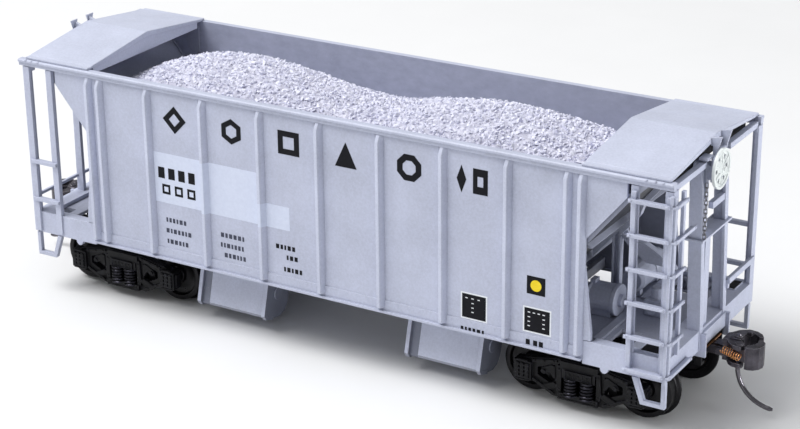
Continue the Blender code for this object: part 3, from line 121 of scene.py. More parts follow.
class Kit:
    """Collects closed shapes and makes one mesh of them."""

    def __init__(self):
        self.points, self.faces, self.tints = [], [], []
        self.count = 0

    def add(self, points, faces, tint=0.5):
        points = np.asarray(points, float)
        first = self.count
        self.points.append(points)
        self.faces.extend([tuple(i + first for i in face) for face in faces])
        self.tints.extend([tint] * len(faces))
        self.count += len(points)
        return self

    def loft(self, rings, closed=False):
        """Skin over rings of equal length, capped unless the last joins the first."""
        size, total = len(rings[0]), len(rings)
        points = np.concatenate([np.asarray(ring, float) for ring in rings])
        faces = []
        if not closed:
            faces.append(tuple(reversed(range(size))))
            faces.append(tuple(range(len(points) - size, len(points))))
        for k in range(total if closed else total - 1):
            here, there = k * size, (k + 1) % total * size
            for i in range(size):
                j = (i + 1) % size
                faces.append((here + i, here + j, there + j, there + i))
        return self.add(points, faces)

    def box(self, x_range, y_range, z_range, chamfer):
        """Box chamfered along all its edges; y_range may run either way."""
        c = chamfer
        y_range = sorted(y_range)

        def ring(z, inset):
            x0, x1 = x_range[0] + inset, x_range[1] - inset
            y0, y1 = y_range[0] + inset, y_range[1] - inset
            return [
                (x0 + c, y0, z), (x1 - c, y0, z), (x1, y0 + c, z), (x1, y1 - c, z),
                (x1 - c, y1, z), (x0 + c, y1, z), (x0, y1 - c, z), (x0, y0 + c, z),
            ]

        z0, z1 = z_range
        return self.loft([ring(z0, c), ring(z0 + c, 0), ring(z1 - c, 0), ring(z1, c)])

    def prism(self, axis, outline, span, chamfer=0.0):
        """Outline extruded over a span of the axis, with both rims chamfered."""
        start, end = sorted(span)
        outer = np.asarray(outline, float)
        x, y = outer[:, 0], outer[:, 1]
        if np.sum(x * np.roll(y, -1) - np.roll(x, -1) * y) < 0:
            outer = outer[::-1]
        levels = [(outer, start), (outer, end)]
        if chamfer > 0:
            inner = inset_outline(outer, chamfer)
            levels = [(inner, start), (outer, start + chamfer)]
            levels += [(outer, end - chamfer), (inner, end)]
        rings = [[PLACE[axis](p, t) for p in points] for points, t in levels]
        if axis == "y":
            rings = [list(reversed(ring)) for ring in rings]
        return self.loft(rings)

    def lathe(self, axes, centre, profile, sides):
        """Turned shape from (radius, distance along axis) pairs; both ends on the axis."""
        centre, across, up, along = (np.asarray(q, float) for q in (centre, *axes))
        angle = 2 * np.pi * np.arange(sides) / sides
        circle = np.outer(np.cos(angle), across) + np.outer(np.sin(angle), up)
        points, rings, count = [], [], 0
        for radius, t in profile:
            size = sides if radius else 1
            middle = centre + along * t
            points.append(circle * radius + middle if radius else middle[None])
            rings.append(list(range(count, count + size)))
            count += size
        faces = []
        for low, high in zip(rings, rings[1:]):
            for i in range(sides):
                j = (i + 1) % sides
                if len(low) == 1:
                    faces.append((low[0], high[j], high[i]))
                elif len(high) == 1:
                    faces.append((low[i], low[j], high[0]))
                else:
                    faces.append((low[i], low[j], high[j], high[i]))
        return self.add(np.concatenate(points), faces)

    def rod(self, axis, centre, radius, span, sides, chamfer):
        start, end = span
        inner = radius - chamfer
        profile = [(0, start), (inner, start), (radius, start + chamfer)]
        profile += [(radius, end - chamfer), (inner, end), (0, end)]
        return self.lathe(AXES[axis], centre, profile, sides)

    def dome(self, centre, normal, radius, height, sides=10):
        """Rivet or bolt head: a low dome on a short skirt, sunk a little in its seat."""
        along = unit(normal)
        helper = (0.0, 0.0, 1.0) if abs(along[2]) < 0.9 else (1.0, 0.0, 0.0)
        across = unit(np.cross(helper, along))
        profile = [
            (0, -0.04), (radius, -0.04), (radius, height * 0.25),
            (radius * 0.80, height * 0.68), (radius * 0.42, height * 0.93), (0, height),
        ]
        return self.lathe((across, np.cross(along, across), along), centre, profile, sides)

    def sweep(self, path, radius, sides, closed=False, taper=None):
        """Round wire along a path; taper scales it at a fraction of the way."""
        path = [np.asarray(p, float) for p in path]
        last = len(path) - 1
        tangents = []
        for i in range(last + 1):
            if closed:
                step = path[(i + 1) % (last + 1)] - path[i - 1]
            else:
                step = path[min(i + 1, last)] - path[max(i - 1, 0)]
            tangents.append(unit(step))
        helper = (0.0, 0.0, 1.0) if abs(tangents[0][2]) < 0.9 else (0.0, 1.0, 0.0)
        side = unit(np.cross(tangents[0], helper))
        rings = []
        for i, (p, tangent) in enumerate(zip(path, tangents)):
            side = unit(side - tangent * side.dot(tangent))
            top = np.cross(side, tangent)
            r = radius * (taper(i / last) if taper else 1.0)
            angles = [2 * math.pi * k / sides for k in range(sides)]
            rings.append([p + side * (r * math.cos(a)) + top * (r * math.sin(a)) for a in angles])
        return self.loft(rings, closed)

    def coil(self, start, end, radius, wire, turns, steps, sides):
        """Round wire wound on the line from start to end, in steps per turn."""
        start, end = np.asarray(start, float), np.asarray(end, float)
        axis = unit(end - start)
        helper = (0.0, 0.0, 1.0) if abs(axis[2]) < 0.9 else (1.0, 0.0, 0.0)
        across = unit(np.cross(axis, helper))
        up = np.cross(axis, across)
        total = int(turns * steps)
        path = []
        for i in range(total + 1):
            a = 2 * math.pi * i / steps
            turn = across * (radius * math.cos(a)) + up * (radius * math.sin(a))
            path.append(start + (end - start) * (i / total) + turn)
        return self.sweep(path, wire, sides)

    def copied(self, scale=(1, 1, 1), shift=(0, 0, 0)):
        kit = Kit()
        kit.points = [p * np.array(scale, float) + np.array(shift, float) for p in self.points]
        kit.faces, kit.tints, kit.count = list(self.faces), list(self.tints), self.count
        return kit

    def turned(self):
        """The same shapes after half a turn about Z."""
        return self.copied(scale=(-1, -1, 1))

    def shifted(self, dx):
        return self.copied(shift=(dx, 0, 0))

    def make(self, name, material, body="car_body", slot="body_paint", angle=35.0, replaces=()):
        """Make the object; edges past angle stay sharp, and no angle means flat shading."""
        points = np.concatenate(self.points)
        points[:, 2] += LIFT
        mesh = bpy.data.meshes.new(name)
        mesh.from_pydata((points * MM).tolist(), [], self.faces)
        mesh.materials.append(material)
        tint = mesh.attributes.new("tint", "FLOAT", "FACE")
        tint.data.foreach_set("value", np.asarray(self.tints, np.float32))
        mesh.update()
        if angle is None:
            mesh.shade_flat()
        else:
            mesh.shade_smooth()
            mesh.set_sharp_from_angle(angle=math.radians(angle))
        ob = bpy.data.objects.new(name, mesh)
        SCENE.collection.objects.link(ob)
        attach(ob, body)
        if replaces:
            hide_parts(*replaces)

    def make_pair(self, name, material, suffixes=("b", "a"), inset=0.0, **options):
        self.make(f"{name}_{suffixes[0]}", material, **options)
        copy = self.shifted(-inset).turned()
        copy.make(f"{name}_{suffixes[1]}", material, **options)


# =================================================================== materials
# Texture scales are per metre; bevel radii and bump distances are metres.
def srgb(*rgb):
    """Linear colour, with alpha, from 0-255 sRGB."""
    linear = []
    for c in rgb:
        c /= 255.0
        linear.append(c / 12.92 if c <= 0.04045 else ((c + 0.055) / 1.055) ** 2.4)
    return (*linear, 1.0)


class Shader:
    """A Principled material, with short calls that grow its node tree."""

    def __init__(self, name):
        self.material = bpy.data.materials.new(name)
        self.material.use_nodes = True
        self.tree = self.material.node_tree
        self.place = self.new("ShaderNodeTexCoord").outputs["Object"]

    @cached_property
    def true_normal(self):
        return self.new("ShaderNodeNewGeometry").outputs["True Normal"]

    def new(self, kind, **props):
        node = self.tree.nodes.new(kind)
        for key, value in props.items():
            setattr(node, key, value)
        return node

    def put(self, socket, value):
        """Link an output socket, or set a plain value."""
        if hasattr(value, "is_output"):
            self.tree.links.new(value, socket)
        else:
            socket.default_value = value

    def noise(self, scale, detail=3.0, rough=0.55, place=None):
        node = self.new("ShaderNodeTexNoise")
        self.put(node.inputs["Vector"], place or self.place)
        node.inputs["Scale"].default_value = scale
        node.inputs["Detail"].default_value = detail
        node.inputs["Roughness"].default_value = rough
        return node.outputs["Fac"]

    def voronoi(self, scale):
        node = self.new("ShaderNodeTexVoronoi")
        self.put(node.inputs["Vector"], self.place)
        node.inputs["Scale"].default_value = scale
        return node.outputs["Distance"]

    def math(self, operation, *values):
        node = self.new("ShaderNodeMath", operation=operation)
        for socket, value in zip(node.inputs, values):
            self.put(socket, value)
        return node.outputs[0]

    def ramp(self, value, start, stop, low=0.0, high=1.0):
        """Clamped ramp: low where value is start, high where it is stop."""
        node = self.new("ShaderNodeMapRange", clamp=True)
        self.put(node.inputs["Value"], value)
        node.inputs["From Min"].default_value = start
        node.inputs["From Max"].default_value = stop
        node.inputs["To Min"].default_value = low
        node.inputs["To Max"].default_value = high
        return node.outputs["Result"]

    def mix(self, factor, first, second):
        node = self.new("ShaderNodeMix", data_type="RGBA", blend_type="MIX")
        for index, value in ((0, factor), (6, first), (7, second)):
            self.put(node.inputs[index], value)
        return node.outputs[2]

    def wash(self, under, mask, over, amount):
        """One colour laid over another where the mask is, at most by amount."""
        return self.mix(self.math("MULTIPLY", mask, amount), under, over)

    def blotch(self, first, second, scale, start=0.3, stop=0.72, **noise):
        """Two colours in soft clouds."""
        cloud = self.noise(scale, **{"detail": 4.0, **noise})
        return self.mix(self.ramp(cloud, start, stop), first, second)

    def uneven(self, scale, low, high):
        """Value drifting between low and high."""
        return self.ramp(self.noise(scale), start=0.3, stop=0.7, low=low, high=high)

    def split(self, vector):
        node = self.new("ShaderNodeSeparateXYZ")
        self.put(node.inputs[0], vector)
        return node.outputs

    def stretch(self, x, y, z):
        node = self.new("ShaderNodeMapping")
        self.put(node.inputs["Vector"], self.place)
        node.inputs["Scale"].default_value = (x, y, z)
        return node.outputs[0]

    def bevel(self, radius):
        node = self.new("ShaderNodeBevel", samples=4)
        node.inputs["Radius"].default_value = radius
        return node.outputs[0]

    def edge(self, bevel):
        """1 on rounded-over edges, 0 on flats."""
        geometry = self.new("ShaderNodeNewGeometry")
        dot = self.new("ShaderNodeVectorMath", operation="DOT_PRODUCT")
        self.put(dot.inputs[0], geometry.outputs["Normal"])
        self.put(dot.inputs[1], bevel)
        bend = self.math("SUBTRACT", 1.0, dot.outputs["Value"])
        return self.ramp(bend, start=0.02, stop=0.30)

    def bump(self, height, strength, distance, normal=None):
        node = self.new("ShaderNodeBump")
        node.inputs["Strength"].default_value = strength
        node.inputs["Distance"].default_value = distance
        self.put(node.inputs["Height"], height)
        if normal is not None:
            self.put(node.inputs["Normal"], normal)
        return node.outputs[0]

    def done(self, color, rough, normal, metal=0.0, spec=0.5):
        inputs = self.tree.nodes["Principled BSDF"].inputs
        self.put(inputs["Base Color"], color)
        self.put(inputs["Roughness"], rough)
        self.put(inputs["Metallic"], metal)
        self.put(inputs["Specular IOR Level"], spec)
        self.put(inputs["Normal"], normal)
        return self.material


def shade_inner_walls(m, color):
    """Painted shade on faces turned to the car's centre plane, in uneven clouds."""
    y = m.split(m.place)[1]
    normal_y = m.split(m.true_normal)[1]
    inward = m.math("MULTIPLY", m.math("SIGN", y), normal_y)
    mask = m.ramp(inward, start=-0.3, stop=-0.7)
    inner_shade = m.blotch(
        srgb(146, 150, 169), srgb(166, 170, 189), scale=1.0, stop=0.75, rough=0.6,
        place=m.stretch(420.0, 420.0, 700.0),
    )
    return m.wash(color, mask, inner_shade, amount=0.85)


# centres of the painted recess shade on the outlets, along X for the near side
OUTLET_SLOTS = (0.01555, -0.02675)  # slot centres along X for the near side, m
OUTLET_SLOT_HALF = 0.00085
OUTLET_SLOT_BLUR = 0.00006


def shade_outlets(m, color):
    """Painted shade on the outlets' end walls and in a recess strip on each."""
    x, y, _ = m.split(m.place)
    normal_x = m.math("ABSOLUTE", m.split(m.true_normal)[0])
    walls = m.ramp(normal_x, start=0.80, stop=0.92)
    along = m.math("MULTIPLY", x, m.math("MULTIPLY", m.math("SIGN", y), -1.0))
    slots = []
    for middle in OUTLET_SLOTS:
        gap = m.math("ABSOLUTE", m.math("SUBTRACT", along, middle))
        slots.append(m.ramp(gap, OUTLET_SLOT_HALF, OUTLET_SLOT_HALF - OUTLET_SLOT_BLUR))
    mask = m.math("MAXIMUM", walls, m.math("MAXIMUM", *slots))
    return m.wash(color, mask, srgb(98, 102, 117), amount=0.80)


def painted(name, rgb, rough=0.42, edge_highlight=0.55, under=0.0, shade_inner=False, outlet=False):
    """Satin sprayed plastic: mottled and grainy, with painted highlights on its edges and painted
    shade in its corners.
    """
    m = Shader(name)
    light = srgb(*[min(255, c * 1.15 + 12) for c in rgb])
    dull = srgb(*[c * 0.93 for c in rgb])
    corner_shade = srgb(*[c * 0.66 for c in rgb])
    bevel = m.bevel(radius=0.00016)
    grain = m.noise(scale=2600.0, rough=0.6)
    color = m.blotch(dull, srgb(*rgb), scale=140.0)
    color = m.wash(color, m.ramp(grain, start=0.35, stop=0.75), light, amount=0.22)
    # streaks running down the sheets
    streak = m.noise(scale=1.0, detail=4.0, rough=0.6, place=m.stretch(700.0, 700.0, 45.0))
    color = m.wash(color, m.ramp(streak, start=0.50, stop=0.80), dull, amount=0.16)
    # painted shade in the corners, from ambient occlusion
    corners = m.new("ShaderNodeAmbientOcclusion", samples=4)
    corners.inputs["Distance"].default_value = 0.0006
    shade = m.ramp(corners.outputs["AO"], start=0.85, stop=0.30)
    color = m.wash(color, shade, corner_shade, amount=0.45)
    # painted highlight along the rounded edges
    color = m.wash(color, m.edge(bevel), light, amount=edge_highlight)
    if under:
        # painted shade, near black, on faces turned to the ground
        down = m.ramp(m.split(m.true_normal)[2], start=0.1, stop=-0.5)
        color = m.wash(color, down, srgb(26, 27, 33), amount=under)
    # painted shade on the inner walls
    if shade_inner:
        color = shade_inner_walls(m, color)
    # painted shade on the outlets' end walls and recess strips
    if outlet:
        color = shade_outlets(m, color)
    # flecks of dust
    fleck = m.ramp(m.voronoi(scale=900.0), start=0.09, stop=0.03)
    color = m.wash(color, fleck, light, amount=0.18)
    fine = m.math("MULTIPLY", m.noise(scale=7000.0, detail=2.0), 0.4)
    height = m.math("ADD", m.math("MULTIPLY", grain, 0.6), fine)
    return m.done(
        color,
        m.uneven(scale=420.0, low=rough - 0.06, high=rough + 0.09),
        m.bump(height, strength=0.22, distance=0.00004, normal=bevel),
        spec=0.45,
    )


def black_plastic():
    """Near-black moulding with painted highlights on its edges and a little dust."""
    m = Shader("truck_plastic")
    bevel = m.bevel(radius=0.00012)
    color = m.blotch(srgb(8, 8, 11), srgb(17, 17, 21), scale=320.0, stop=0.7)
    color = m.wash(color, m.edge(bevel), srgb(84, 84, 94), amount=0.60)
    dust = m.ramp(m.noise(scale=900.0, detail=5.0, rough=0.65), start=0.56, stop=0.80)
    color = m.wash(color, dust, srgb(70, 66, 66), amount=0.14)
    grain = m.noise(scale=5200.0, rough=0.6)
    return m.done(
        color,
        m.uneven(scale=700.0, low=0.40, high=0.56),
        m.bump(grain, strength=0.35, distance=0.00005, normal=bevel),
        spec=0.22,
    )


def turned_metal():
    """Blackened metal with painted highlights on its edges."""
    m = Shader("wheel_metal")
    bevel = m.bevel(radius=0.00010)
    color = m.blotch(srgb(16, 16, 18), srgb(34, 33, 36), scale=260.0)
    color = m.wash(color, m.edge(bevel), srgb(112, 108, 110), amount=0.5)
    grain = m.noise(scale=3800.0, rough=0.6)
    return m.done(
        color,
        m.uneven(scale=900.0, low=0.26, high=0.42),
        m.bump(grain, strength=0.18, distance=0.00003, normal=bevel),
        metal=0.72,
    )


def coupler_metal():
    """Pitted grey casting with painted highlights on its edges, and brown stains."""
    m = Shader("coupler_metal")
    bevel = m.bevel(radius=0.00014)
    color = m.blotch(srgb(50, 48, 54), srgb(92, 89, 97), scale=500.0, stop=0.7)
    color = m.wash(color, m.edge(bevel), srgb(196, 192, 200), amount=0.7)
    stain = m.ramp(m.noise(scale=1500.0, detail=5.0), start=0.55, stop=0.75)
    color = m.wash(color, stain, srgb(76, 60, 54), amount=0.25)
    pits = m.math("MULTIPLY", m.voronoi(scale=5200.0), 0.5)
    height = m.math("ADD", pits, m.noise(scale=2400.0, detail=4.0, rough=0.6))
    return m.done(
        color,
        m.uneven(scale=1200.0, low=0.34, high=0.54),
        m.bump(height, strength=0.5, distance=0.00007, normal=bevel),
        metal=0.75,
    )


def bright_metal(name, first, second, rough, dirt=None):
    """Bare metal clouded between two colours, with patches of dirt if given."""
    scale = 1800.0
    m = Shader(name)
    color = m.blotch(srgb(*first), srgb(*second), scale=scale)
    if dirt:
        patches = m.ramp(m.noise(scale=scale * 0.4, detail=5.0), start=0.5, stop=0.75)
        color = m.wash(color, patches, srgb(*dirt), amount=0.5)
    grain = m.noise(scale=6000.0, detail=2.0)
    return m.done(
        color,
        m.uneven(scale=scale * 0.7, low=rough - 0.05, high=rough + 0.12),
        m.bump(grain, strength=0.12, distance=0.00003, normal=m.bevel(radius=0.00006)),
        metal=1.0,
    )


def gravel_stone():
    """Crushed pale stone, each grain its own shade, with dusty speckle."""
    m = Shader("gravel_stone")
    tint = m.new("ShaderNodeAttribute", attribute_name="tint").outputs["Fac"]
    color = m.mix(m.ramp(tint, start=0.0, stop=0.5), srgb(213, 214, 231), srgb(222, 223, 239))
    color = m.mix(m.ramp(tint, start=0.5, stop=1.0), color, srgb(232, 233, 247))
    warm = m.ramp(m.noise(scale=520.0, detail=4.0), start=0.5, stop=0.8)
    color = m.wash(color, warm, srgb(222, 219, 223), amount=0.30)
    speck = m.ramp(m.noise(scale=5200.0, detail=4.0, rough=0.7), start=0.55, stop=0.80)
    color = m.wash(color, speck, srgb(172, 172, 188), amount=0.22)
    grain = m.noise(scale=3600.0, detail=5.0, rough=0.65)
    normal = m.bump(grain, strength=0.4, distance=0.00010)
    return m.done(color, rough=0.86, normal=normal, spec=0.3)


def gravel_bed():
    """What shows between the stones: the same gravel, in shadow."""
    m = Shader("gravel_bed")
    cells = m.ramp(m.voronoi(scale=1100.0), start=0.1, stop=0.55)
    color = m.mix(cells, srgb(218, 218, 234), srgb(184, 184, 200))
    normal = m.bump(m.noise(scale=2400.0, detail=5.0), strength=0.8, distance=0.0002)
    return m.done(color, rough=0.9, normal=normal, spec=0.2)


def moulded_white():
    m = Shader("brake_wheel_plastic")
    bevel = m.bevel(radius=0.00010)
    cloud = m.noise(scale=700.0, detail=4.0)
    shade = m.ramp(cloud, start=0.3, stop=0.72)
    color = m.mix(shade, srgb(214, 220, 220), srgb(232, 237, 236))
    # painted highlight along the rounded edges
    color = m.wash(color, m.edge(bevel), srgb(248, 250, 249), amount=0.4)
    return m.done(
        color,
        m.ramp(cloud, start=0.3, stop=0.7, low=0.34, high=0.46),
        m.bump(m.noise(scale=4200.0), strength=0.2, distance=0.00004, normal=bevel),
    )


def ink(name, first, second, rough=0.4):
    """Printed mark: slightly uneven ink over the paint."""
    m = Shader(name)
    grain = m.noise(scale=5200.0, rough=0.6)
    return m.done(
        m.blotch(srgb(*first), srgb(*second), scale=1600.0, rough=0.6, start=0.32, stop=0.70),
        m.uneven(scale=900.0, low=rough - 0.05, high=rough + 0.08),
        m.bump(grain, strength=0.2, distance=0.00003),
        spec=0.16,
    )


def floor_paper():
    m = Shader("floor_paper")
    pale, paler = (0.80, 0.803, 0.812, 1), (0.82, 0.823, 0.832, 1)
    color = m.blotch(pale, paler, scale=30.0, detail=3.0, stop=0.7)
    normal = m.bump(m.noise(scale=900.0), strength=0.05, distance=0.0001)
    return m.done(color, rough=0.8, normal=normal, spec=0.2)


PAINT = painted("car_paint", (187, 192, 212))
SIDE_PAINT = painted("side_paint", (186, 191, 211), shade_inner=True)
# darker copy of the body paint: painted shade on the slope sheets, near black on faces turned down
SLOPE_PAINT = painted("slope_paint", (166, 170, 188), under=0.95)
ROOF_PAINT = painted("roof_paint", (191, 196, 216))
FRAME_PAINT = painted("frame_paint", (188, 193, 214), rough=0.48)
# painted shade under the outlets, on their end walls and in their recess strips
CHUTE_PAINT = painted("chute_paint", (190, 195, 215), under=0.4, outlet=True)
# lighter copy of the body paint with stronger painted edge highlights: painted light on the posts
POST_PAINT = painted("post_paint", (195, 200, 221), edge_highlight=0.8)
# darker copy of the body paint: painted shade on the underframe, darkest on faces turned down
UNDER_PAINT = painted("under_paint", (164, 168, 186), rough=0.5, under=0.85)

TRUCK = black_plastic()
WHEEL = turned_metal()
COUPLER = coupler_metal()
BRONZE = bright_metal(
    "spring_bronze", (250, 190, 130), (232, 158, 98), rough=0.22, dirt=(190, 122, 78))
DULL_BRONZE = bright_metal(
    "centring_bronze", (232, 172, 120), (200, 136, 92), rough=0.30, dirt=(150, 104, 74))
STEEL = bright_metal("screw_steel", (150, 150, 154), (112, 112, 118), rough=0.34)
SPRING = bright_metal(
    "spring_black", (62, 61, 68), (32, 32, 38), rough=0.26, dirt=(34, 32, 36))
PIN_METAL = bright_metal("pin_metal", (118, 115, 121), (86, 84, 90), rough=0.12)
STONE = gravel_stone()
BED = gravel_bed()
WHITE = moulded_white()
INK = ink("black_ink", (7, 8, 15), (13, 14, 23))
SOFT_INK = ink("grey_ink", (58, 61, 76), (78, 81, 97))
PATCH = ink("pale_patch", (205, 212, 232), (212, 219, 238), rough=0.36)
LABEL_WHITE = ink("label_white", (222, 226, 232), (234, 237, 242))
# near-black fill: the floor wells, and plates standing in for the shade under the roof ends
DARK_FILL = ink("dark_fill", (10, 10, 14), (20, 20, 26), rough=0.6)
YELLOW = ink("yellow_ink", (236, 206, 38), (246, 222, 60))

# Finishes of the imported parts; anything not listed is PAINT.
FINISH = {
    "side_panel_near": SIDE_PAINT,
    "side_panel_far": SIDE_PAINT,
    "centre_ridge": SIDE_PAINT,
    "underframe": UNDER_PAINT,
    "gravel_load": BED,
    "brake_wheel": WHITE,
}
# The same for parts found at both ends; {} stands for the end's letter.
END_FINISH = {
    "slope_sheet_{}": SLOPE_PAINT,
    "roof_end_{}": ROOF_PAINT,
    "end_frame_{}": FRAME_PAINT,
    "weight_plate_{}": STEEL,
    "truck_screw_{}": STEEL,
    "truck_frame_{}": TRUCK,
    "coupler_box_{}": TRUCK,
    "coupler_box_lid_{}": TRUCK,
    "coupler_{}": COUPLER,
    "knuckle_{}": COUPLER,
    "trip_pin_{}": COUPLER,
    "knuckle_spring_{}": BRONZE,
    "centring_spring_{}": DULL_BRONZE,
    "wheelset_{}_outer": WHEEL,
    "wheelset_{}_inner": WHEEL,
}


def finish_packed_parts():
    for pattern, material in END_FINISH.items():
        for end in "ab":
            FINISH[pattern.format(end)] = material
    for name, ob in NODES.items():
        default = CHUTE_PAINT if name.startswith("outlet_chute") else PAINT
        material = FINISH.get(name, default)
        for slot in ob.material_slots:
            slot.material = material


finish_packed_parts()


# ====================================================================== gravel
STONE_SEED = 41
STONE_SHAPES = 40
STONE_PITCH = 0.63
STONE_LAYERS = (
    # depth of the stone's middle, size, share of places left empty
    (0.06, 0.45, 0.0),
    (-0.16, 0.38, 0.60),
)
BED_MARGIN = 0.35  # from the heap's edge to the first places
STONE_MARGIN_X, STONE_MARGIN_Y = 0.45, 0.40  # nearest a stone's middle comes to the edge
STONE_LIMIT_Y = 16.38  # no stone reaches past the side sheets
GRAVEL_PIECES = 4
RAY_START = 0.08  # m, above the heap


def stone_shape(rng):
    """Angular stone: convex hull of a few points near a unit ball, as points and triangles."""
    bm = bmesh.new()
    for _ in range(rng.randint(9, 13)):
        z = rng.uniform(-1, 1)
        a = rng.uniform(0, 2 * math.pi)
        level = math.sqrt(1 - z * z)
        r = rng.uniform(0.86, 1.1)
        bm.verts.new((level * math.cos(a) * r, level * math.sin(a) * r, z * r))
    bmesh.ops.convex_hull(bm, input=bm.verts)
    loose = [vert for vert in bm.verts if not vert.link_faces]
    bmesh.ops.delete(bm, geom=loose, context="VERTS")
    bm.verts.index_update()
    points = np.array([tuple(vert.co) for vert in bm.verts])
    faces = np.array([[vert.index for vert in face.verts] for face in bm.faces])
    bm.free()
    # turn every face outwards
    a, b, c = (points[faces[:, i]] for i in range(3))
    outward = points[faces].mean(1) - points.mean(0)
    flip = (np.cross(b - a, c - a) * outward).sum(1) < 0
    faces[flip] = faces[flip][:, ::-1]
    return points, faces


def heap_height():
    """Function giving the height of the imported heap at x, y, or None off it."""
    mesh = NODES["gravel_load"].data
    points = [tuple(vert.co) for vert in mesh.vertices]
    tree = BVHTree.FromPolygons(points, [tuple(face.vertices) for face in mesh.polygons])

    def height(x, y):
        place = tree.ray_cast(Vector((x * MM, y * MM, RAY_START)), Vector((0, 0, -1)))[0]
        return None if place is None else place.z / MM - LIFT

    return height


def random_rotation(rng):
    """Rotation matrix of a random unit quaternion."""
    quaternion = np.array([rng.gauss(0, 1) for _ in range(4)])
    w, x, y, z = quaternion / np.linalg.norm(quaternion)
    return np.array([
        [1 - 2 * (y * y + z * z), 2 * (x * y - z * w), 2 * (x * z + y * w)],
        [2 * (x * y + z * w), 1 - 2 * (x * x + z * z), 2 * (y * z - x * w)],
        [2 * (x * z - y * w), 2 * (y * z + x * w), 1 - 2 * (x * x + y * y)],
    ])


def place_stone(kit, shapes, rng, x, y, z, size):
    """Add one stone of random size, shape and turn, sitting about x, y, z."""
    size *= rng.uniform(0.74, 1.26)
    if rng.random() < 0.05:
        size *= 1.25
    points, faces = shapes[rng.randrange(len(shapes))]
    stretch = [rng.uniform(0.85, 1.3), rng.uniform(0.75, 1.1), rng.uniform(0.5, 0.8)]
    points = (points * (np.array(stretch) * size)) @ random_rotation(rng).T
    points = points + np.array((x, y, z - 0.10 * size + rng.uniform(-0.10, 0.12)))
    points[:, 1] = np.clip(points[:, 1], -STONE_LIMIT_Y, STONE_LIMIT_Y)
    kit.add(points, faces.tolist(), tint=rng.random())


def gravel():
    """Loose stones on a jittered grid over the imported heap, in pieces along X."""
    rng = random.Random(STONE_SEED)
    shapes = [stone_shape(rng) for _ in range(STONE_SHAPES)]
    height = heap_height()
    low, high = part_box("gravel_load")
    x0, x1, y0, y1 = low.x / MM, high.x / MM, low.y / MM, high.y / MM
    kits = [Kit() for _ in range(GRAVEL_PIECES)]
    piece = (x1 - x0) / GRAVEL_PIECES
    columns, rows = int((x1 - x0) / STONE_PITCH), int((y1 - y0) / STONE_PITCH)
    step_x = (x1 - x0 - 2 * BED_MARGIN) / columns
    step_y = (y1 - y0 - 2 * BED_MARGIN) / rows
    for sink, size, empty in STONE_LAYERS:
        for i in range(columns + 1):
            for j in range(rows + 1):
                # a full layer draws no number here
                if empty and rng.random() < empty:
                    continue
                stagger = 0.5 * (j % 2)
                x = x0 + BED_MARGIN + step_x * (i + rng.uniform(-0.48, 0.48) + stagger)
                y = y0 + BED_MARGIN + step_y * (j + rng.uniform(-0.48, 0.48))
                x = min(max(x, x0 + STONE_MARGIN_X), x1 - STONE_MARGIN_X)
                y = min(max(y, y0 + STONE_MARGIN_Y), y1 - STONE_MARGIN_Y)
                z = height(x, y)
                if z is None:
                    continue
                kit = kits[min(int((x - x0) / piece), GRAVEL_PIECES - 1)]
                place_stone(kit, shapes, rng, x, y, z - sink, size)
    for k, kit in enumerate(kits):
        kit.make(f"gravel_stones_{k + 1}", STONE, slot="gravel", angle=50)


gravel()


# ==================================================================== wheelsets
# Radius and distance along the axle, from one needle point to near the middle
HALF_WHEELSET = [
    (0, -12.05), (0.16, -11.86), (0.55, -11.35), (0.80, -11.05), (0.85, -10.95),
    (0.85, -10.15), (1.40, -10.10), (1.52, -9.98), (1.60, -9.62), (1.72, -9.36),
    (2.10, -9.22), (2.70, -9.12), (3.30, -9.16), (3.72, -9.34), (3.86, -9.62),
    (3.92, -9.92), (4.02, -10.0), (4.66, -10.0), (4.77, -9.96), (WHEEL_RADIUS, -9.86),
    (WHEEL_RADIUS, -8.12), (4.88, -7.98), (5.14, -7.90), (5.36, -7.80),
    (FLANGE_RADIUS, -7.66), (FLANGE_RADIUS, -7.52), (5.38, -7.34), (5.20, -7.25),
    (4.10, -7.25), (3.95, -7.32), (3.80, -7.60), (3.20, -7.78), (2.20, -7.78),
    (1.75, -7.62), (1.62, -7.30), (1.42, -7.22), (1.02, -7.20), (0.95, -7.10),
]


def wheelsets():
    profile = HALF_WHEELSET + [(r, -t) for r, t in reversed(HALF_WHEELSET)]
    for end, way in ENDS:
        for place, offset in (("outer", AXLE_X), ("inner", -AXLE_X)):
            packed = f"wheelset_{end}_{place}"
            kit = Kit().lathe(AXES["y"], (way * (TRUCK_X + offset), 0, WHEEL_RADIUS), profile, 72)
            kit.make(f"turned_{packed}", WHEEL, packed, "wheel_metal", 28, [packed])


wheelsets()

# ================================================================ truck castings
# Truck tables are drawn for the +Y side, with X from the truck's centre.
SPRING_Y = 12.42
TRUCK_SPRINGS = (
    # x, y, foot z, head z, coil radius, wire radius, turns, steps per turn, wire sides
    (1.40, SPRING_Y, 1.95, 5.35, 1.20, 0.21, 6.0, 18, 7),
    (1.42, 10.25, 2.3, 5.0, 0.95, 0.22, 5.0, 14, 6),
)
JOURNAL_BARS = (
    # half length, y range, z range, chamfer
    *((1.22, (13.05, 13.52), about(z, 0.14), 0.05) for z in (3.75, 4.45, 5.15, 5.85)),
    (1.45, (12.9, 13.34), (6.25, 6.62), 0.08),
    (1.30, (12.8, 13.30), (3.02, 3.34), 0.08),
)
BAR_FACE_Y = 12.93
BAR_BOLTS = (
    # (x, z) of the line's outer end, (x, z) of its inner end, places along, radius, height
    ((8.3, 6.75), (3.9, 7.65), (0.12, 0.5, 0.88), 0.22, 0.16),
    ((8.2, 3.55), (4.4, 1.7), (0.2, 0.75), 0.20, 0.14),
)
GUIDE_FACE_Y = 12.98
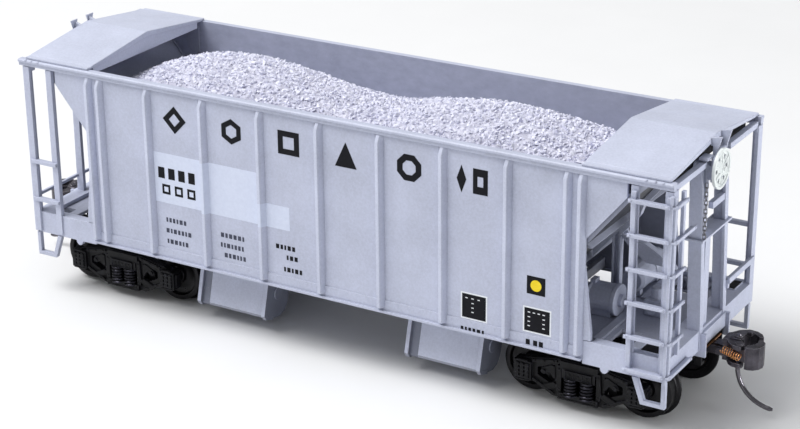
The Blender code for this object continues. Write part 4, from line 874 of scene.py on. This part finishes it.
# Outlines are (x, z) points
GUIDE = [(3.05, 2.3), (3.75, 2.3), (3.95, 3.3), (3.75, 7.1), (3.05, 7.1)]
HANGER = [
    (4.3, 6.5), (4.9, 6.75), (6.6, 5.9), (7.0, 5.1), (6.3, 4.7), (5.2, 5.3), (4.6, 4.4), (4.2, 4.5),
]
SHOE = [(3.8, 3.5), (4.5, 3.75), (6.4, 3.0), (6.75, 2.45), (6.2, 2.05), (5.0, 2.35), (3.9, 2.9)]
BOLSTER_RIB_Y = (13.0, 13.38)
BOLSTER_BARS = (
    # x range, y range, z range, chamfer: panel, two rails, four ribs
    ((-2.25, 2.25), (13.0, 13.22), (5.30, 6.66), 0.06),
    *(((-2.32, 2.32), BOLSTER_RIB_Y, about(z, 0.09), 0.04) for z in (5.38, 6.58)),
    *((about(x, 0.09), BOLSTER_RIB_Y, (5.32, 6.64), 0.04) for x in (-2.24, -0.8, 0.8, 2.24)),
)


def truck_springs(coils, side, way):
    for x, y, foot, head, radius, wire, turns, steps, sides in TRUCK_SPRINGS:
        start, end = (way * x, side * y, foot), (way * x, side * y, head)
        coils.coil(start, end, radius, wire, turns, steps, sides)


def journal_cover(cast, side, x):
    """Four ribs, a head bar and a lower lip, with a rod along the top."""
    for half, y_range, z_range, chamfer in JOURNAL_BARS:
        cast.box(about(x, half), signed(side, y_range), z_range, chamfer)
    cast.rod("x", (0, side * 13.22, 6.62), 0.24, about(x, 0.9), 12, 0.05)


def bar_bolts(cast, side, way):
    """Heads along the sloping bars above and below."""
    for (x0, z0), (x1, z1), places, radius, height in BAR_BOLTS:
        for t in places:
            x, z = x0 + (x1 - x0) * t, z0 + (z1 - z0) * t
            cast.dome((way * x, side * BAR_FACE_Y, z), (0, side, 0), radius, height)


def column_guide(cast, side, way):
    """Upright beside the springs, with a bolt head above and below."""
    span = signed(side, (12.4, GUIDE_FACE_Y))
    cast.prism("y", flipped(GUIDE, way), span, 0.08)
    for z, radius, height in ((6.45, 0.24, 0.16), (3.0, 0.22, 0.14)):
        cast.dome((way * 3.45, side * GUIDE_FACE_Y, z), (0, side, 0), radius, height)


def hanger_and_shoe(cast, side, way):
    """Two castings between the spring group and the wheel."""
    cast.prism("y", flipped(HANGER, way), signed(side, (12.0, 12.75)), 0.1)
    pin_span = signed(side, (12.6, 12.95))
    # on the -Y side the span runs backwards and its chamfers flare outwards
    cast.rod("y", (way * 6.3, 0, 5.35), 0.34, pin_span, 14, 0.08)
    cast.prism("y", flipped(SHOE, way), signed(side, (12.0, 12.9)), 0.12)


def bolster_end(cast, side):
    """Raised frame round a ribbed panel with three bolt heads."""
    for x_range, y_range, z_range, chamfer in BOLSTER_BARS:
        cast.box(x_range, signed(side, y_range), z_range, chamfer)
    for x in (-1.5, 0.0, 1.5):
        cast.dome((x, side * 13.22, 5.98), (0, side, 0), 0.26, 0.14, 12)


def spring_plank(cast, side):
    """Plank lip and its bolts, the spring seats, and the plate behind the springs."""
    cast.box((-3.55, 3.55), signed(side, (12.9, 13.34)), (1.32, 1.62), 0.08)
    for x in (-2.9, -1.0, 1.0, 2.9):
        cast.dome((x, side * 13.20, 1.98), (0, side, 0), 0.17, 0.12)
    for x in (-1.42, 1.42):
        for seat in ((2.0, 2.18), (5.12, 5.30)):
            cast.rod("z", (x, side * SPRING_Y, 0), 1.34, seat, 20, 0.05)
    cast.box((-3.05, 3.05), signed(side, (10.9, 11.2)), (2.3, 5.3), 0.05)


def trucks():
    cast, coils = Kit(), Kit()
    for side in SIDES:
        for way in (-1, 1):
            truck_springs(coils, side, way)
            journal_cover(cast, side, way * AXLE_X)
            bar_bolts(cast, side, way)
            column_guide(cast, side, way)
            hanger_and_shoe(cast, side, way)
        bolster_end(cast, side)
        spring_plank(cast, side)
    for end, way in ENDS:
        for name, kit, material in (("castings", cast, TRUCK), ("springs", coils, SPRING)):
            moved = kit.shifted(way * TRUCK_X)
            moved.make(f"truck_{name}_{end}", material, f"truck_{end}", "truck_black")


trucks()

# ============================================================== couplers
# Drawn for end b.
PIN_X, PIN_Y = 66.90, 0.15
PIN_RADIUS = 0.38
PIN_TOP, PIN_STEP, PIN_STEPS = 13.12, 0.35, 16  # straight upper part
BEND_TOP, BEND_REACH, BEND_DROP = 7.4, 6.4, 6.1  # elliptical lower part
BEND_STEPS, BEND_DEGREES = 26, 88.0
HEAD_TOP = 12.38
COUPLER_RODS = (
    # x, y, radius, z range, sides, chamfer
    (67.80, -2.00, 0.72, (HEAD_TOP, 12.62), 24, 0.08),
    (67.80, -2.00, 0.72, (8.46, 8.72), 24, 0.08),
)


def trip_pin():
    """Rod dropping straight from the head, then curving outwards, with rounded-off ends."""
    path = [(PIN_X, PIN_Y, PIN_TOP - PIN_STEP * i) for i in range(PIN_STEPS)]
    for i in range(BEND_STEPS + 1):
        a = math.radians(BEND_DEGREES * i / BEND_STEPS)
        x, z = PIN_X + BEND_REACH * (1 - math.cos(a)), BEND_TOP - BEND_DROP * math.sin(a)
        path.append((x, PIN_Y, z))
    last = len(path) - 1

    def taper(t):
        from_end = min(t * last, last - t * last)
        if from_end < 0.5:
            return 0.62
        return 0.93 if from_end < 1.5 and t > 0.5 else 1.0

    return Kit().sweep(path, PIN_RADIUS, 20, taper=taper)


def coupler_bosses():
    """Round bosses, pads and lips standing on the head and shank."""
    kit = Kit()
    for x, y, radius, z_range, sides, chamfer in COUPLER_RODS:
        kit.rod("z", (x, y, 0), radius, z_range, sides, chamfer)
    kit.box((65.6, 67.4), (-0.75, 1.15), (12.36, 12.66), 0.10)
    kit.rod("z", (PIN_X, PIN_Y, 0), 0.62, (HEAD_TOP, 12.86), 20, 0.1)
    lip = [(67.55, 1.75), (68.35, 1.75), (68.45, 2.45), (67.65, 2.55)]
    kit.prism("z", lip, (12.2, 12.98), 0.12)
    kit.box((63.2, 65.6), (-0.85, 0.85), (11.0, 11.22), 0.08)
    kit.box((63.6, 65.0), (-1.34, -1.20), (9.4, 10.6), 0.05)
    return kit


def knuckle_spring():
    start, end = (65.15, -2.20, 11.05), (68.40, -3.20, 10.70)
    return Kit().coil(start, end, radius=0.60, wire=0.08, turns=8.0, steps=22, sides=8)


def couplers():
    pieces = (
        # name, kit, material, slot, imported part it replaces
        ("fine_trip_pin", trip_pin(), PIN_METAL, "coupler_metal", "trip_pin"),
        ("coupler_bosses", coupler_bosses(), COUPLER, "coupler_metal", None),
        ("fine_knuckle_spring", knuckle_spring(), BRONZE, "spring_bronze", "knuckle_spring"),
    )
    for end in "ba":
        for name, kit, material, slot, packed in pieces:
            placed = kit if end == "b" else kit.turned()
            replaces = [f"{packed}_{end}"] if packed else ()
            placed.make(f"{name}_{end}", material, f"coupler_{end}", slot, replaces=replaces)


couplers()

# ==================================================================== brake wheel
BRAKE_WHEEL = np.array((62.95, -2.05, 40.9))  # centre of its back
RIM_STEPS = 64
WEB_RINGS = (
    # inner radius, outer radius, back x, front x: rim, then web
    (2.78, 3.25, 0.02, 0.52),
    (2.30, 2.90, 0.08, 0.34),
)
RING_CHAMFER = 0.05
# Radius and distance along +X
HUB = [
    (0, 0.04), (0.5, 0.04), (1.2, 0.10), (1.55, 0.14), (1.60, 0.20), (1.55, 0.32),
    (1.15, 0.36), (0.95, 0.50), (0.62, 0.62), (0.55, 0.74), (0, 0.78),
]
NUT = [(0, 0.70), (0.30, 0.70), (0.30, 0.88), (0.22, 0.94), (0, 0.96)]
BEAD = ((0.9, 0.44), (1.6, 0.34), (2.3, 0.33), (2.85, 0.40))
PANEL_RADII = (1.45, 2.45)
PANEL_DEGREES = (9, 51)  # within each sixth of a turn
PANEL_STEPS = 7


def wheel_ring(kit, r0, r1, x0, x1):
    c = RING_CHAMFER
    section = [
        (r0 + c, x0), (r1 - c, x0), (r1, x0 + c), (r1, x1 - c),
        (r1 - c, x1), (r0 + c, x1), (r0, x1 - c), (r0, x0 + c),
    ]
    rings = []
    for i in range(RIM_STEPS):
        a = 2 * math.pi * i / RIM_STEPS
        ring = [BRAKE_WHEEL + np.array((x, r * math.cos(a), r * math.sin(a))) for r, x in section]
        rings.append(ring)
    kit.loft(rings, closed=True)


def wheel_panel(kit, turn):
    """One panel of the web, with a raised bead along its middle."""
    cx, cy, cz = BRAKE_WHEEL
    a0, a1 = (math.radians(turn + degrees) for degrees in PANEL_DEGREES)
    inner, outer = PANEL_RADII
    steps = range(PANEL_STEPS + 1)
    arcs = [(outer, a0 + (a1 - a0) * i / PANEL_STEPS) for i in steps]
    arcs += [(inner, a1 + (a0 - a1) * i / PANEL_STEPS) for i in steps]
    outline = [(cy + r * math.cos(a), cz + r * math.sin(a)) for r, a in arcs]
    kit.prism("x", outline, (cx + 0.10, cx + 0.32), 0.03)
    middle = math.radians(turn + 30)
    ray = np.array((0, math.cos(middle), math.sin(middle)))
    kit.sweep([BRAKE_WHEEL + ray * r + np.array((x, 0, 0)) for r, x in BEAD], 0.13, 8)


def brake_wheel():
    """Dished wheel facing +X: rim, slotted web, hub and nut."""
    kit = Kit()
    for ring in WEB_RINGS:
        wheel_ring(kit, *ring)
    kit.lathe(AXES["x"], BRAKE_WHEEL, HUB, 48)
    for k in range(6):
        wheel_panel(kit, 60 * k)
    kit.rod("x", BRAKE_WHEEL, 0.42, (-0.9, 0.4), 20, 0.05)
    kit.lathe(AXES["x"], BRAKE_WHEEL, NUT, 6)
    return kit


brake_wheel().make(
    "fine_brake_wheel", WHITE, "brake_wheel", "brake_plastic", replaces=["brake_wheel"])

CHAIN_X, CHAIN_Y, CHAIN_FOOT = 62.17, -4.90, 30.45
LINKS, LINK_PITCH, LINK_STEPS = 13, 0.70, 14
LINK_HALF_WIDTH, LINK_END, LINK_STRAIGHT = 0.24, 0.26, 0.20


def chain():
    """Upright oval links, each a quarter turn from the last."""
    kit = Kit()
    for k in range(LINKS):
        path = []
        for i in range(LINK_STEPS):
            a = 2 * math.pi * i / LINK_STEPS
            across = LINK_HALF_WIDTH * math.cos(a)
            straight = LINK_STRAIGHT if math.sin(a) > 0 else -LINK_STRAIGHT
            z = CHAIN_FOOT + k * LINK_PITCH + LINK_END * math.sin(a) + straight
            dx, dy = (0, across) if k % 2 else (across, 0)
            path.append((CHAIN_X + dx, CHAIN_Y + dy, z))
        kit.sweep(path, 0.085, 7, closed=True)
    return kit


chain().make("brake_chain_links", STEEL, replaces=["brake_chain"])


# ==================================================================== body fittings
# Unless noted, drawn for end b.
def bracket_faces():
    """Tapered face plates on the two brackets over the roof edge; used at end a only."""
    kit = Kit()
    outline = [(1.35, 46.32), (3.20, 46.32), (2.55, 44.35), (1.80, 44.35)]
    for side in SIDES:
        kit.prism("x", flipped(outline, side), (61.75, 61.98), 0.05)
    return kit


bracket_faces().turned().make("bracket_faces_a", PAINT, slot="roof_paint")

POST_X = (-47.20, -44.80, -34.60, -23.12, -11.54, 0.0, 11.54, 23.12, 34.60, 44.80, 47.20)
POST_DEPTH = 1.07  # how far the face stands out from POST_ROOT_Y
POST_FACE, POST_BASE = 0.27, 0.80  # half widths
POST_ROOT_Y = 17.03
POST_BACK_Y = 16.95  # sunk behind the sheet
POST_LEVELS = (
    # z, depth, width factor
    (12.12, POST_DEPTH - 0.10, 0.96),
    (12.24, POST_DEPTH, 1.0),
    (40.90, POST_DEPTH, 1.0),
    (42.05, 0.40, 1.0),
    (42.20, 0.30, 1.0),
)


def post_section(middle, z, depth, width):
    base, face = POST_BASE * width, POST_FACE * width
    ease = 0.05 * min(1.0, depth)
    front = -POST_ROOT_Y - depth
    half = [
        (base, -POST_BACK_Y), (base, -SHEET_Y), (face + ease, front + ease * 1.4), (face, front),
    ]
    left = [(middle - x, y, z) for x, y in half]
    right = [(middle + x, y, z) for x, y in reversed(half)]
    return left + right


def side_posts():
    """Near-side posts: narrow face, long sloping flanks, chamfered head and square foot."""
    kit = Kit()
    for middle in POST_X:
        kit.loft([post_section(middle, *level) for level in POST_LEVELS])
    return kit


side_posts().make_pair("side_posts", POST_PAINT, ("near", "far"))


def ladder_corner():
    """Strip closing the corner between the side and end ladders."""
    return Kit().box((61.95, 62.45), (-18.30, -17.55), (10.95, 41.6), 0.08)


ladder_corner().make_pair("ladder_corner", PAINT, inset=END_A_INSET)

WELL_X = (57.1, 60.9)
WELL_Y = (12.3, 15.9)
COAMING_X, COAMING_Y = 0.22, 0.20  # widths of the bars across and along X


def floor_wells():
    """Dark rectangles in the end floor, with a thin raised coaming round each."""
    wells, coamings = Kit(), Kit()
    x0, x1 = WELL_X
    y0, y1 = WELL_Y
    coaming_z = (14.5, 14.78)
    for side in SIDES:
        wells.box(WELL_X, signed(side, WELL_Y), (14.52, 14.64), 0.03)
        full_y = signed(side, (y0 - COAMING_Y, y1 + COAMING_Y))
        for x_range in ((x0 - COAMING_X, x0), (x1, x1 + COAMING_X)):
            coamings.box(x_range, full_y, coaming_z, 0.05)
        for y_range in ((y0 - COAMING_Y, y0), (y1, y1 + COAMING_Y)):
            coamings.box(WELL_X, signed(side, y_range), coaming_z, 0.05)
    wells.make("floor_wells_b", DARK_FILL)
    coamings.make("well_coamings_b", PAINT)


floor_wells()

LADDER_RUNGS = (
    # z, y of the end rung's far end
    (12.15, -9.9), (17.75, -13.9), (23.35, -13.9), (28.85, -13.9), (34.35, -10.6), (39.9, -13.9),
)
LUG_RISE = 0.06  # lug centre above its rung


def ladder_lugs():
    """Heads at both ends of each rung of the side and end ladders."""
    kit = Kit()
    for z, _ in LADDER_RUNGS:
        for x in (55.85, 61.72):
            kit.dome((x, -18.85, z + LUG_RISE), (0, -1, 0), 0.26, 0.17, 12)
    for z, far in LADDER_RUNGS:
        for y in (-17.95, far - 0.35):
            kit.dome((63.20, y, z + LUG_RISE), (1, 0, 0), 0.24, 0.16, 12)
    return kit


def chord_bumps():
    """Small heads on the lip of the top chord near the corner posts."""
    kit = Kit()
    for side in SIDES:
        for x in (57.8, 59.25, 60.5):
            kit.dome((x, side * 17.62, 43.20), (0, side * 0.6, 0.8), 0.26, 0.22, 12)
    return kit


SLOPE_ANGLE = math.radians(50.6)
SLOPE_HEAD = np.array((55.30, 40.40))  # x, z
SEAL_Y = 16.44  # outer face of the seals and gussets
# (x, z) points
GUSSET = [(47.75, 42.2), (50.75, 42.2), (50.75, 39.85), (50.4, 37.9), (48.6, 36.8), (47.75, 37.3)]


def slope_seals():
    """Strips where a slope sheet meets the sides, and a gusset at its top."""
    kit = Kit()
    up_slope = np.array((math.cos(SLOPE_ANGLE), math.sin(SLOPE_ANGLE)))
    normal = np.array((-up_slope[1], up_slope[0]))
    head, foot = SLOPE_HEAD - up_slope * 0.6, SLOPE_HEAD - up_slope * 13.0
    low, high = normal * 0.02, normal * 0.30
    for side in SIDES:
        strip = [head + low, foot + low, foot + high, head + high]
        kit.prism("y", strip, signed(side, (16.05, SEAL_Y)))
        kit.prism("y", GUSSET, signed(side, (16.20, SEAL_Y)), 0.05)
    return kit


ROOF_END_X = 61.45


def roof_shade_plates():
    """Black plates standing in for the shade under the roof's end: one to each side and one in the
    middle.
    """
    kit = Kit()
    plate = [(5.6, 41.3), (15.3, 41.3), (15.3, 43.38), (5.6, 44.25)]
    for side in SIDES:
        kit.prism("x", flipped(plate, side), (ROOF_END_X - 1.55, ROOF_END_X - 1.35), 0.04)
    middle = [(-5.3, 41.6), (5.3, 41.6), (5.3, 44.3), (0, 44.75), (-5.3, 44.3)]
    kit.prism("x", middle, (ROOF_END_X - 1.75, ROOF_END_X - 1.55), 0.04)
    return kit


def band_rivets():
    """Rivet row along the band under the sheets, on both sides."""
    kit = Kit()
    for side in SIDES:
        for i in range(48):
            kit.dome((-46.4 + i * 1.975, side * BAND_Y, 12.95), (0, side, 0), 0.13, 0.07, 8)
    return kit


ladder_lugs().make_pair("ladder_lugs", PAINT, inset=END_A_INSET)
chord_bumps().make_pair("chord_bumps", PAINT)
slope_seals().make_pair("slope_seals", SLOPE_PAINT)
# black plates standing in for the shade under each roof end
roof_shade_plates().make_pair("roof_shade_plates", DARK_FILL, inset=END_A_INSET, slot="roof_paint")
band_rivets().make("band_rivets", SIDE_PAINT)

# ================================================================ painted marks
# Drawn for the near side as (x, z) outlines.  A lift is the height above the surface.
SHEET_FOOT = 13.4  # marks starting below this lie on the band
MARK_SINK = 0.02
LIFT_PATCH = 0.02
LIFT_SQUARE = 0.03
LIFT_INK = 0.035
LIFT_NUMBER = 0.045
LIFT_LABEL = 0.048
LIFT_DOT = 0.05
PATCHES = (
    # x range, z range
    ((-33.85, -23.90), (21.85, 31.0)),
    ((-22.34, -12.32), (21.75, 31.0)),
    ((-10.76, -6.10), (21.75, 25.95)),
)
POST_PATCHES = (
    # post x, z range
    (-23.12, (21.8, 31.0)),
    (-11.54, (21.75, 25.95)),
)
DATA_LINES = (
    # x0, x1, middle z, height; the first GREY_LINES of them are grey
    (-31.8, -27.5, 18.75, 0.80), (-31.9, -26.1, 16.75, 0.80), (-31.8, -27.4, 14.75, 0.80),
    (-20.3, -15.4, 18.3, 0.80), (-20.4, -15.4, 16.45, 0.80), (-19.7, -15.3, 14.65, 0.80),
    (-9.0, -5.2, 18.6, 0.80), (-6.9, -4.2, 16.85, 0.80), (-7.5, -3.8, 14.65, 0.80),
    (26.5, 30.7, 11.9, 0.55),
)
GREY_LINES = 6
DATA_SEED = 100  # of the first line; each next line takes the next seed
FRAMED_PANELS = (
    # x0, x1, z0, z1, columns, columns kept in the rows under the first
    (26.40, 31.20, 13.55, 18.20, 3, (1,)),
    (37.55, 42.50, 13.80, 18.25, 4, (0, 3)),
)
PANEL_ROWS = (0.95, 1.75, 2.55, 3.3)  # below the panel's top
PANEL_BORDER = 0.26


def flat(kit, outline, lift=LIFT_INK):
    y = -SHEET_Y if min(z for _, z in outline) > SHEET_FOOT else -BAND_Y
    kit.prism("y", outline, (y + MARK_SINK, y - lift))


def rect(x0, x1, z0, z1):
    return [(x0, z0), (x1, z0), (x1, z1), (x0, z1)]


def regular(x, z, radius_x, radius_z, sides, phase=0.0):
    angles = [phase + 2 * math.pi * i / sides for i in range(sides)]
    return [(x + radius_x * math.cos(a), z + radius_z * math.sin(a)) for a in angles]


def band(kit, outline, shrink, lift=LIFT_INK):
    """Band between an outline and the same outline shrunk about its middle."""
    outer = np.asarray(outline, float)
    middle = outer.mean(0)
    inner = middle + (outer - middle) * shrink
    for i in range(len(outer)):
        j = (i + 1) % len(outer)
        flat(kit, [tuple(outer[i]), tuple(outer[j]), tuple(inner[j]), tuple(inner[i])], lift)


def panel_symbols(black):
    """Large plain shapes along the upper sheets."""
    z = 37.35
    band(black, regular(-29.0, z, 2.40, 2.45, 4), 0.48)
    band(black, regular(-17.3, z, 2.25, 2.25, 6, math.pi / 6), 0.54)
    band(black, rect(-7.95, -3.8, z - 2.05, z + 2.05), 0.52)
    flat(black, [(3.1, z - 2.15), (7.2, z - 2.15), (5.15, z + 2.15)])
    band(black, regular(17.0, z, 2.4, 2.4, 8, math.pi / 8), 0.54)
    flat(black, regular(26.45, z, 0.85, 2.3, 4))
    band(black, rect(28.5, 31.1, z - 2.1, z + 2.1), 0.40)


def patches(pale):
    """Pale patches on the sheets, carried over the posts between them."""
    for x_range, z_range in PATCHES:
        flat(pale, rect(*x_range, *z_range), LIFT_PATCH)
    half = [
        (POST_BASE + 0.04, -SHEET_Y + 0.02),
        (POST_FACE + 0.07, -POST_ROOT_Y - POST_DEPTH + 0.05),
        (POST_FACE, -POST_ROOT_Y - 0.025 - POST_DEPTH),
    ]
    for middle, z_range in POST_PATCHES:
        outline = [(middle - x, y) for x, y in half]
        outline += [(middle + x, y) for x, y in reversed(half)]
        pale.prism("z", outline, z_range)


def number_blocks(black):
    """Solid blocks over open squares, in place of a running number."""
    for i in range(4):
        x = -33.0 + i * 2.12
        flat(black, rect(x, x + 1.35, 26.35, 28.35), LIFT_NUMBER)
    for i in range(3):
        x = -32.3 + i * 2.65
        band(black, rect(x, x + 1.7, 23.5, 25.3), 0.52, LIFT_NUMBER)


def dashes(kit, x0, x1, middle, height, seed):
    """A line of plain blocks standing in for small data."""
    rng = random.Random(seed)
    gap = 0.30
    x = x0
    while x < x1 - gap:
        width = min(rng.choice((0.34, 0.46, 0.62)), x1 - x)
        flat(kit, rect(x, x + width, middle - height / 2, middle + height / 2))
        x += width + gap


def data_marks(black, grey):
    for n, line in enumerate(DATA_LINES):
        dashes(grey if n < GREY_LINES else black, *line, DATA_SEED + n)
    for x in (38.2, 39.5, 40.5):
        flat(black, rect(x, x + 0.7, 11.75, 12.65))


def framed_panels(black, white):
    """Two black panels with a white border and rows of short white dashes."""
    for x0, x1, z0, z1, columns, kept in FRAMED_PANELS:
        edge = PANEL_BORDER
        flat(white, rect(x0, x1, z0, z1), LIFT_PATCH)
        flat(black, rect(x0 + edge, x1 - edge, z0 + edge, z1 - edge))
        pitch = (x1 - x0 - 1.5) / columns
        for row, drop in enumerate(PANEL_ROWS):
            for i in kept if row else range(columns):
                x = x0 + 0.85 + i * pitch
                flat(white, rect(x, x + 0.42, *about(z1 - drop, 0.08)), LIFT_LABEL)


def marks():
    black, grey, pale, white, yellow = (Kit() for _ in range(5))
    panel_symbols(black)
    patches(pale)
    number_blocks(black)
    data_marks(black, grey)
    framed_panels(black, white)
    flat(black, rect(38.15, 41.35, 20.45, 23.50), LIFT_SQUARE)
    flat(yellow, regular(39.75, 21.98, 0.95, 0.95, 40), LIFT_DOT)
    for name, kit, material in (
        ("marks_black", black, INK),
        ("marks_grey", grey, SOFT_INK),
        ("marks_pale", pale, PATCH),
        ("marks_white", white, LABEL_WHITE),
        ("mark_dot", yellow, YELLOW),
    ):
        kit.make_pair(name, material, ("near", "far"), angle=None)


marks()


# ======================================================================== stage
def stage():
    half = 3.0  # m
    corners = [(-half, -half, 0), (half, -half, 0), (half, half, 0), (-half, half, 0)]
    mesh = bpy.data.meshes.new("floor")
    mesh.from_pydata(corners, [], [(0, 1, 2, 3)])
    floor = bpy.data.objects.new("floor", mesh)
    SCENE.collection.objects.link(floor)
    mesh.materials.append(floor_paper())


def studio_world():
    """Pale surroundings, brightest above and towards -X."""
    world = bpy.data.worlds.new("studio")
    SCENE.world = world
    world.use_nodes = True
    nodes, links = world.node_tree.nodes, world.node_tree.links
    background = nodes["Background"]
    background.inputs["Color"].default_value = (0.98, 0.99, 1.0, 1)
    place = nodes.new("ShaderNodeTexCoord")
    dot = nodes.new("ShaderNodeVectorMath")
    dot.operation = "DOT_PRODUCT"
    links.new(place.outputs["Generated"], dot.inputs[0])
    dot.inputs[1].default_value = (-0.75, -0.10, 0.65)  # towards the brightest part
    strength = nodes.new("ShaderNodeMapRange")
    links.new(dot.outputs["Value"], strength.inputs["Value"])
    strength.inputs["From Min"].default_value = -1.0
    strength.inputs["From Max"].default_value = 1.0
    strength.inputs["To Min"].default_value = 0.14
    strength.inputs["To Max"].default_value = 0.64
    links.new(strength.outputs["Result"], background.inputs["Strength"])


def area_light(name, place, target, size, watts, color):
    """Square lamp at place, in metres, facing target."""
    data = bpy.data.lights.new(name, "AREA")
    data.energy = watts
    data.color = color
    data.shape = "SQUARE"
    data.size = size
    ob = bpy.data.objects.new(name, data)
    SCENE.collection.objects.link(ob)
    ob.location = place
    ob.rotation_mode = "QUATERNION"
    ob.rotation_quaternion = (Vector(target) - Vector(place)).to_track_quat("-Z", "Y")


def lights():
    area_light(
        "key", place=(-0.37, -0.31, 0.877), target=(0, 0, 0.02),
        size=0.60, watts=9.4, color=(1.0, 0.998, 0.99),
    )
    area_light(
        "end_fill", place=(0.36, 0.03, 0.055), target=(0.06, 0, 0.022),
        size=0.10, watts=0.50, color=(0.98, 0.99, 1.0),
    )


CAMERA_PLACE = (171.643, -278.178, 152.609)  # mm, above the rail top
CAMERA_YAW, CAMERA_PITCH, CAMERA_ROLL = 0.558, 0.393, -0.016  # radians; pitch is downwards
CAMERA_LENS = 92.5002  # mm, on a sensor 36 mm wide
CAMERA_SHIFT = (0.0434, 0.0195875)


def camera():
    """Three-quarter view from the near side of the brake end."""
    yaw, pitch, roll = CAMERA_YAW, CAMERA_PITCH, CAMERA_ROLL
    flat_reach = math.cos(pitch)
    ahead = (-math.sin(yaw) * flat_reach, math.cos(yaw) * flat_reach, -math.sin(pitch))
    forward = Vector(ahead)
    level = Vector((math.cos(yaw), math.sin(yaw), 0))
    upright = level.cross(forward)
    right = level * math.cos(roll) + upright * math.sin(roll)
    up = -level * math.sin(roll) + upright * math.cos(roll)
    data = bpy.data.cameras.new("camera")
    data.sensor_width = 36
    data.lens = CAMERA_LENS
    data.shift_x, data.shift_y = CAMERA_SHIFT
    data.clip_start, data.clip_end = 0.01, 10
    ob = bpy.data.objects.new("camera", data)
    SCENE.collection.objects.link(ob)
    x, y, z = CAMERA_PLACE
    turn = Matrix((right, up, -forward)).transposed().to_4x4()
    ob.matrix_world = Matrix.Translation(Vector((x, y, z + LIFT)) * MM) @ turn
    SCENE.camera = ob


stage()
studio_world()
lights()
camera()
SCENE.view_settings.view_transform = "Standard"
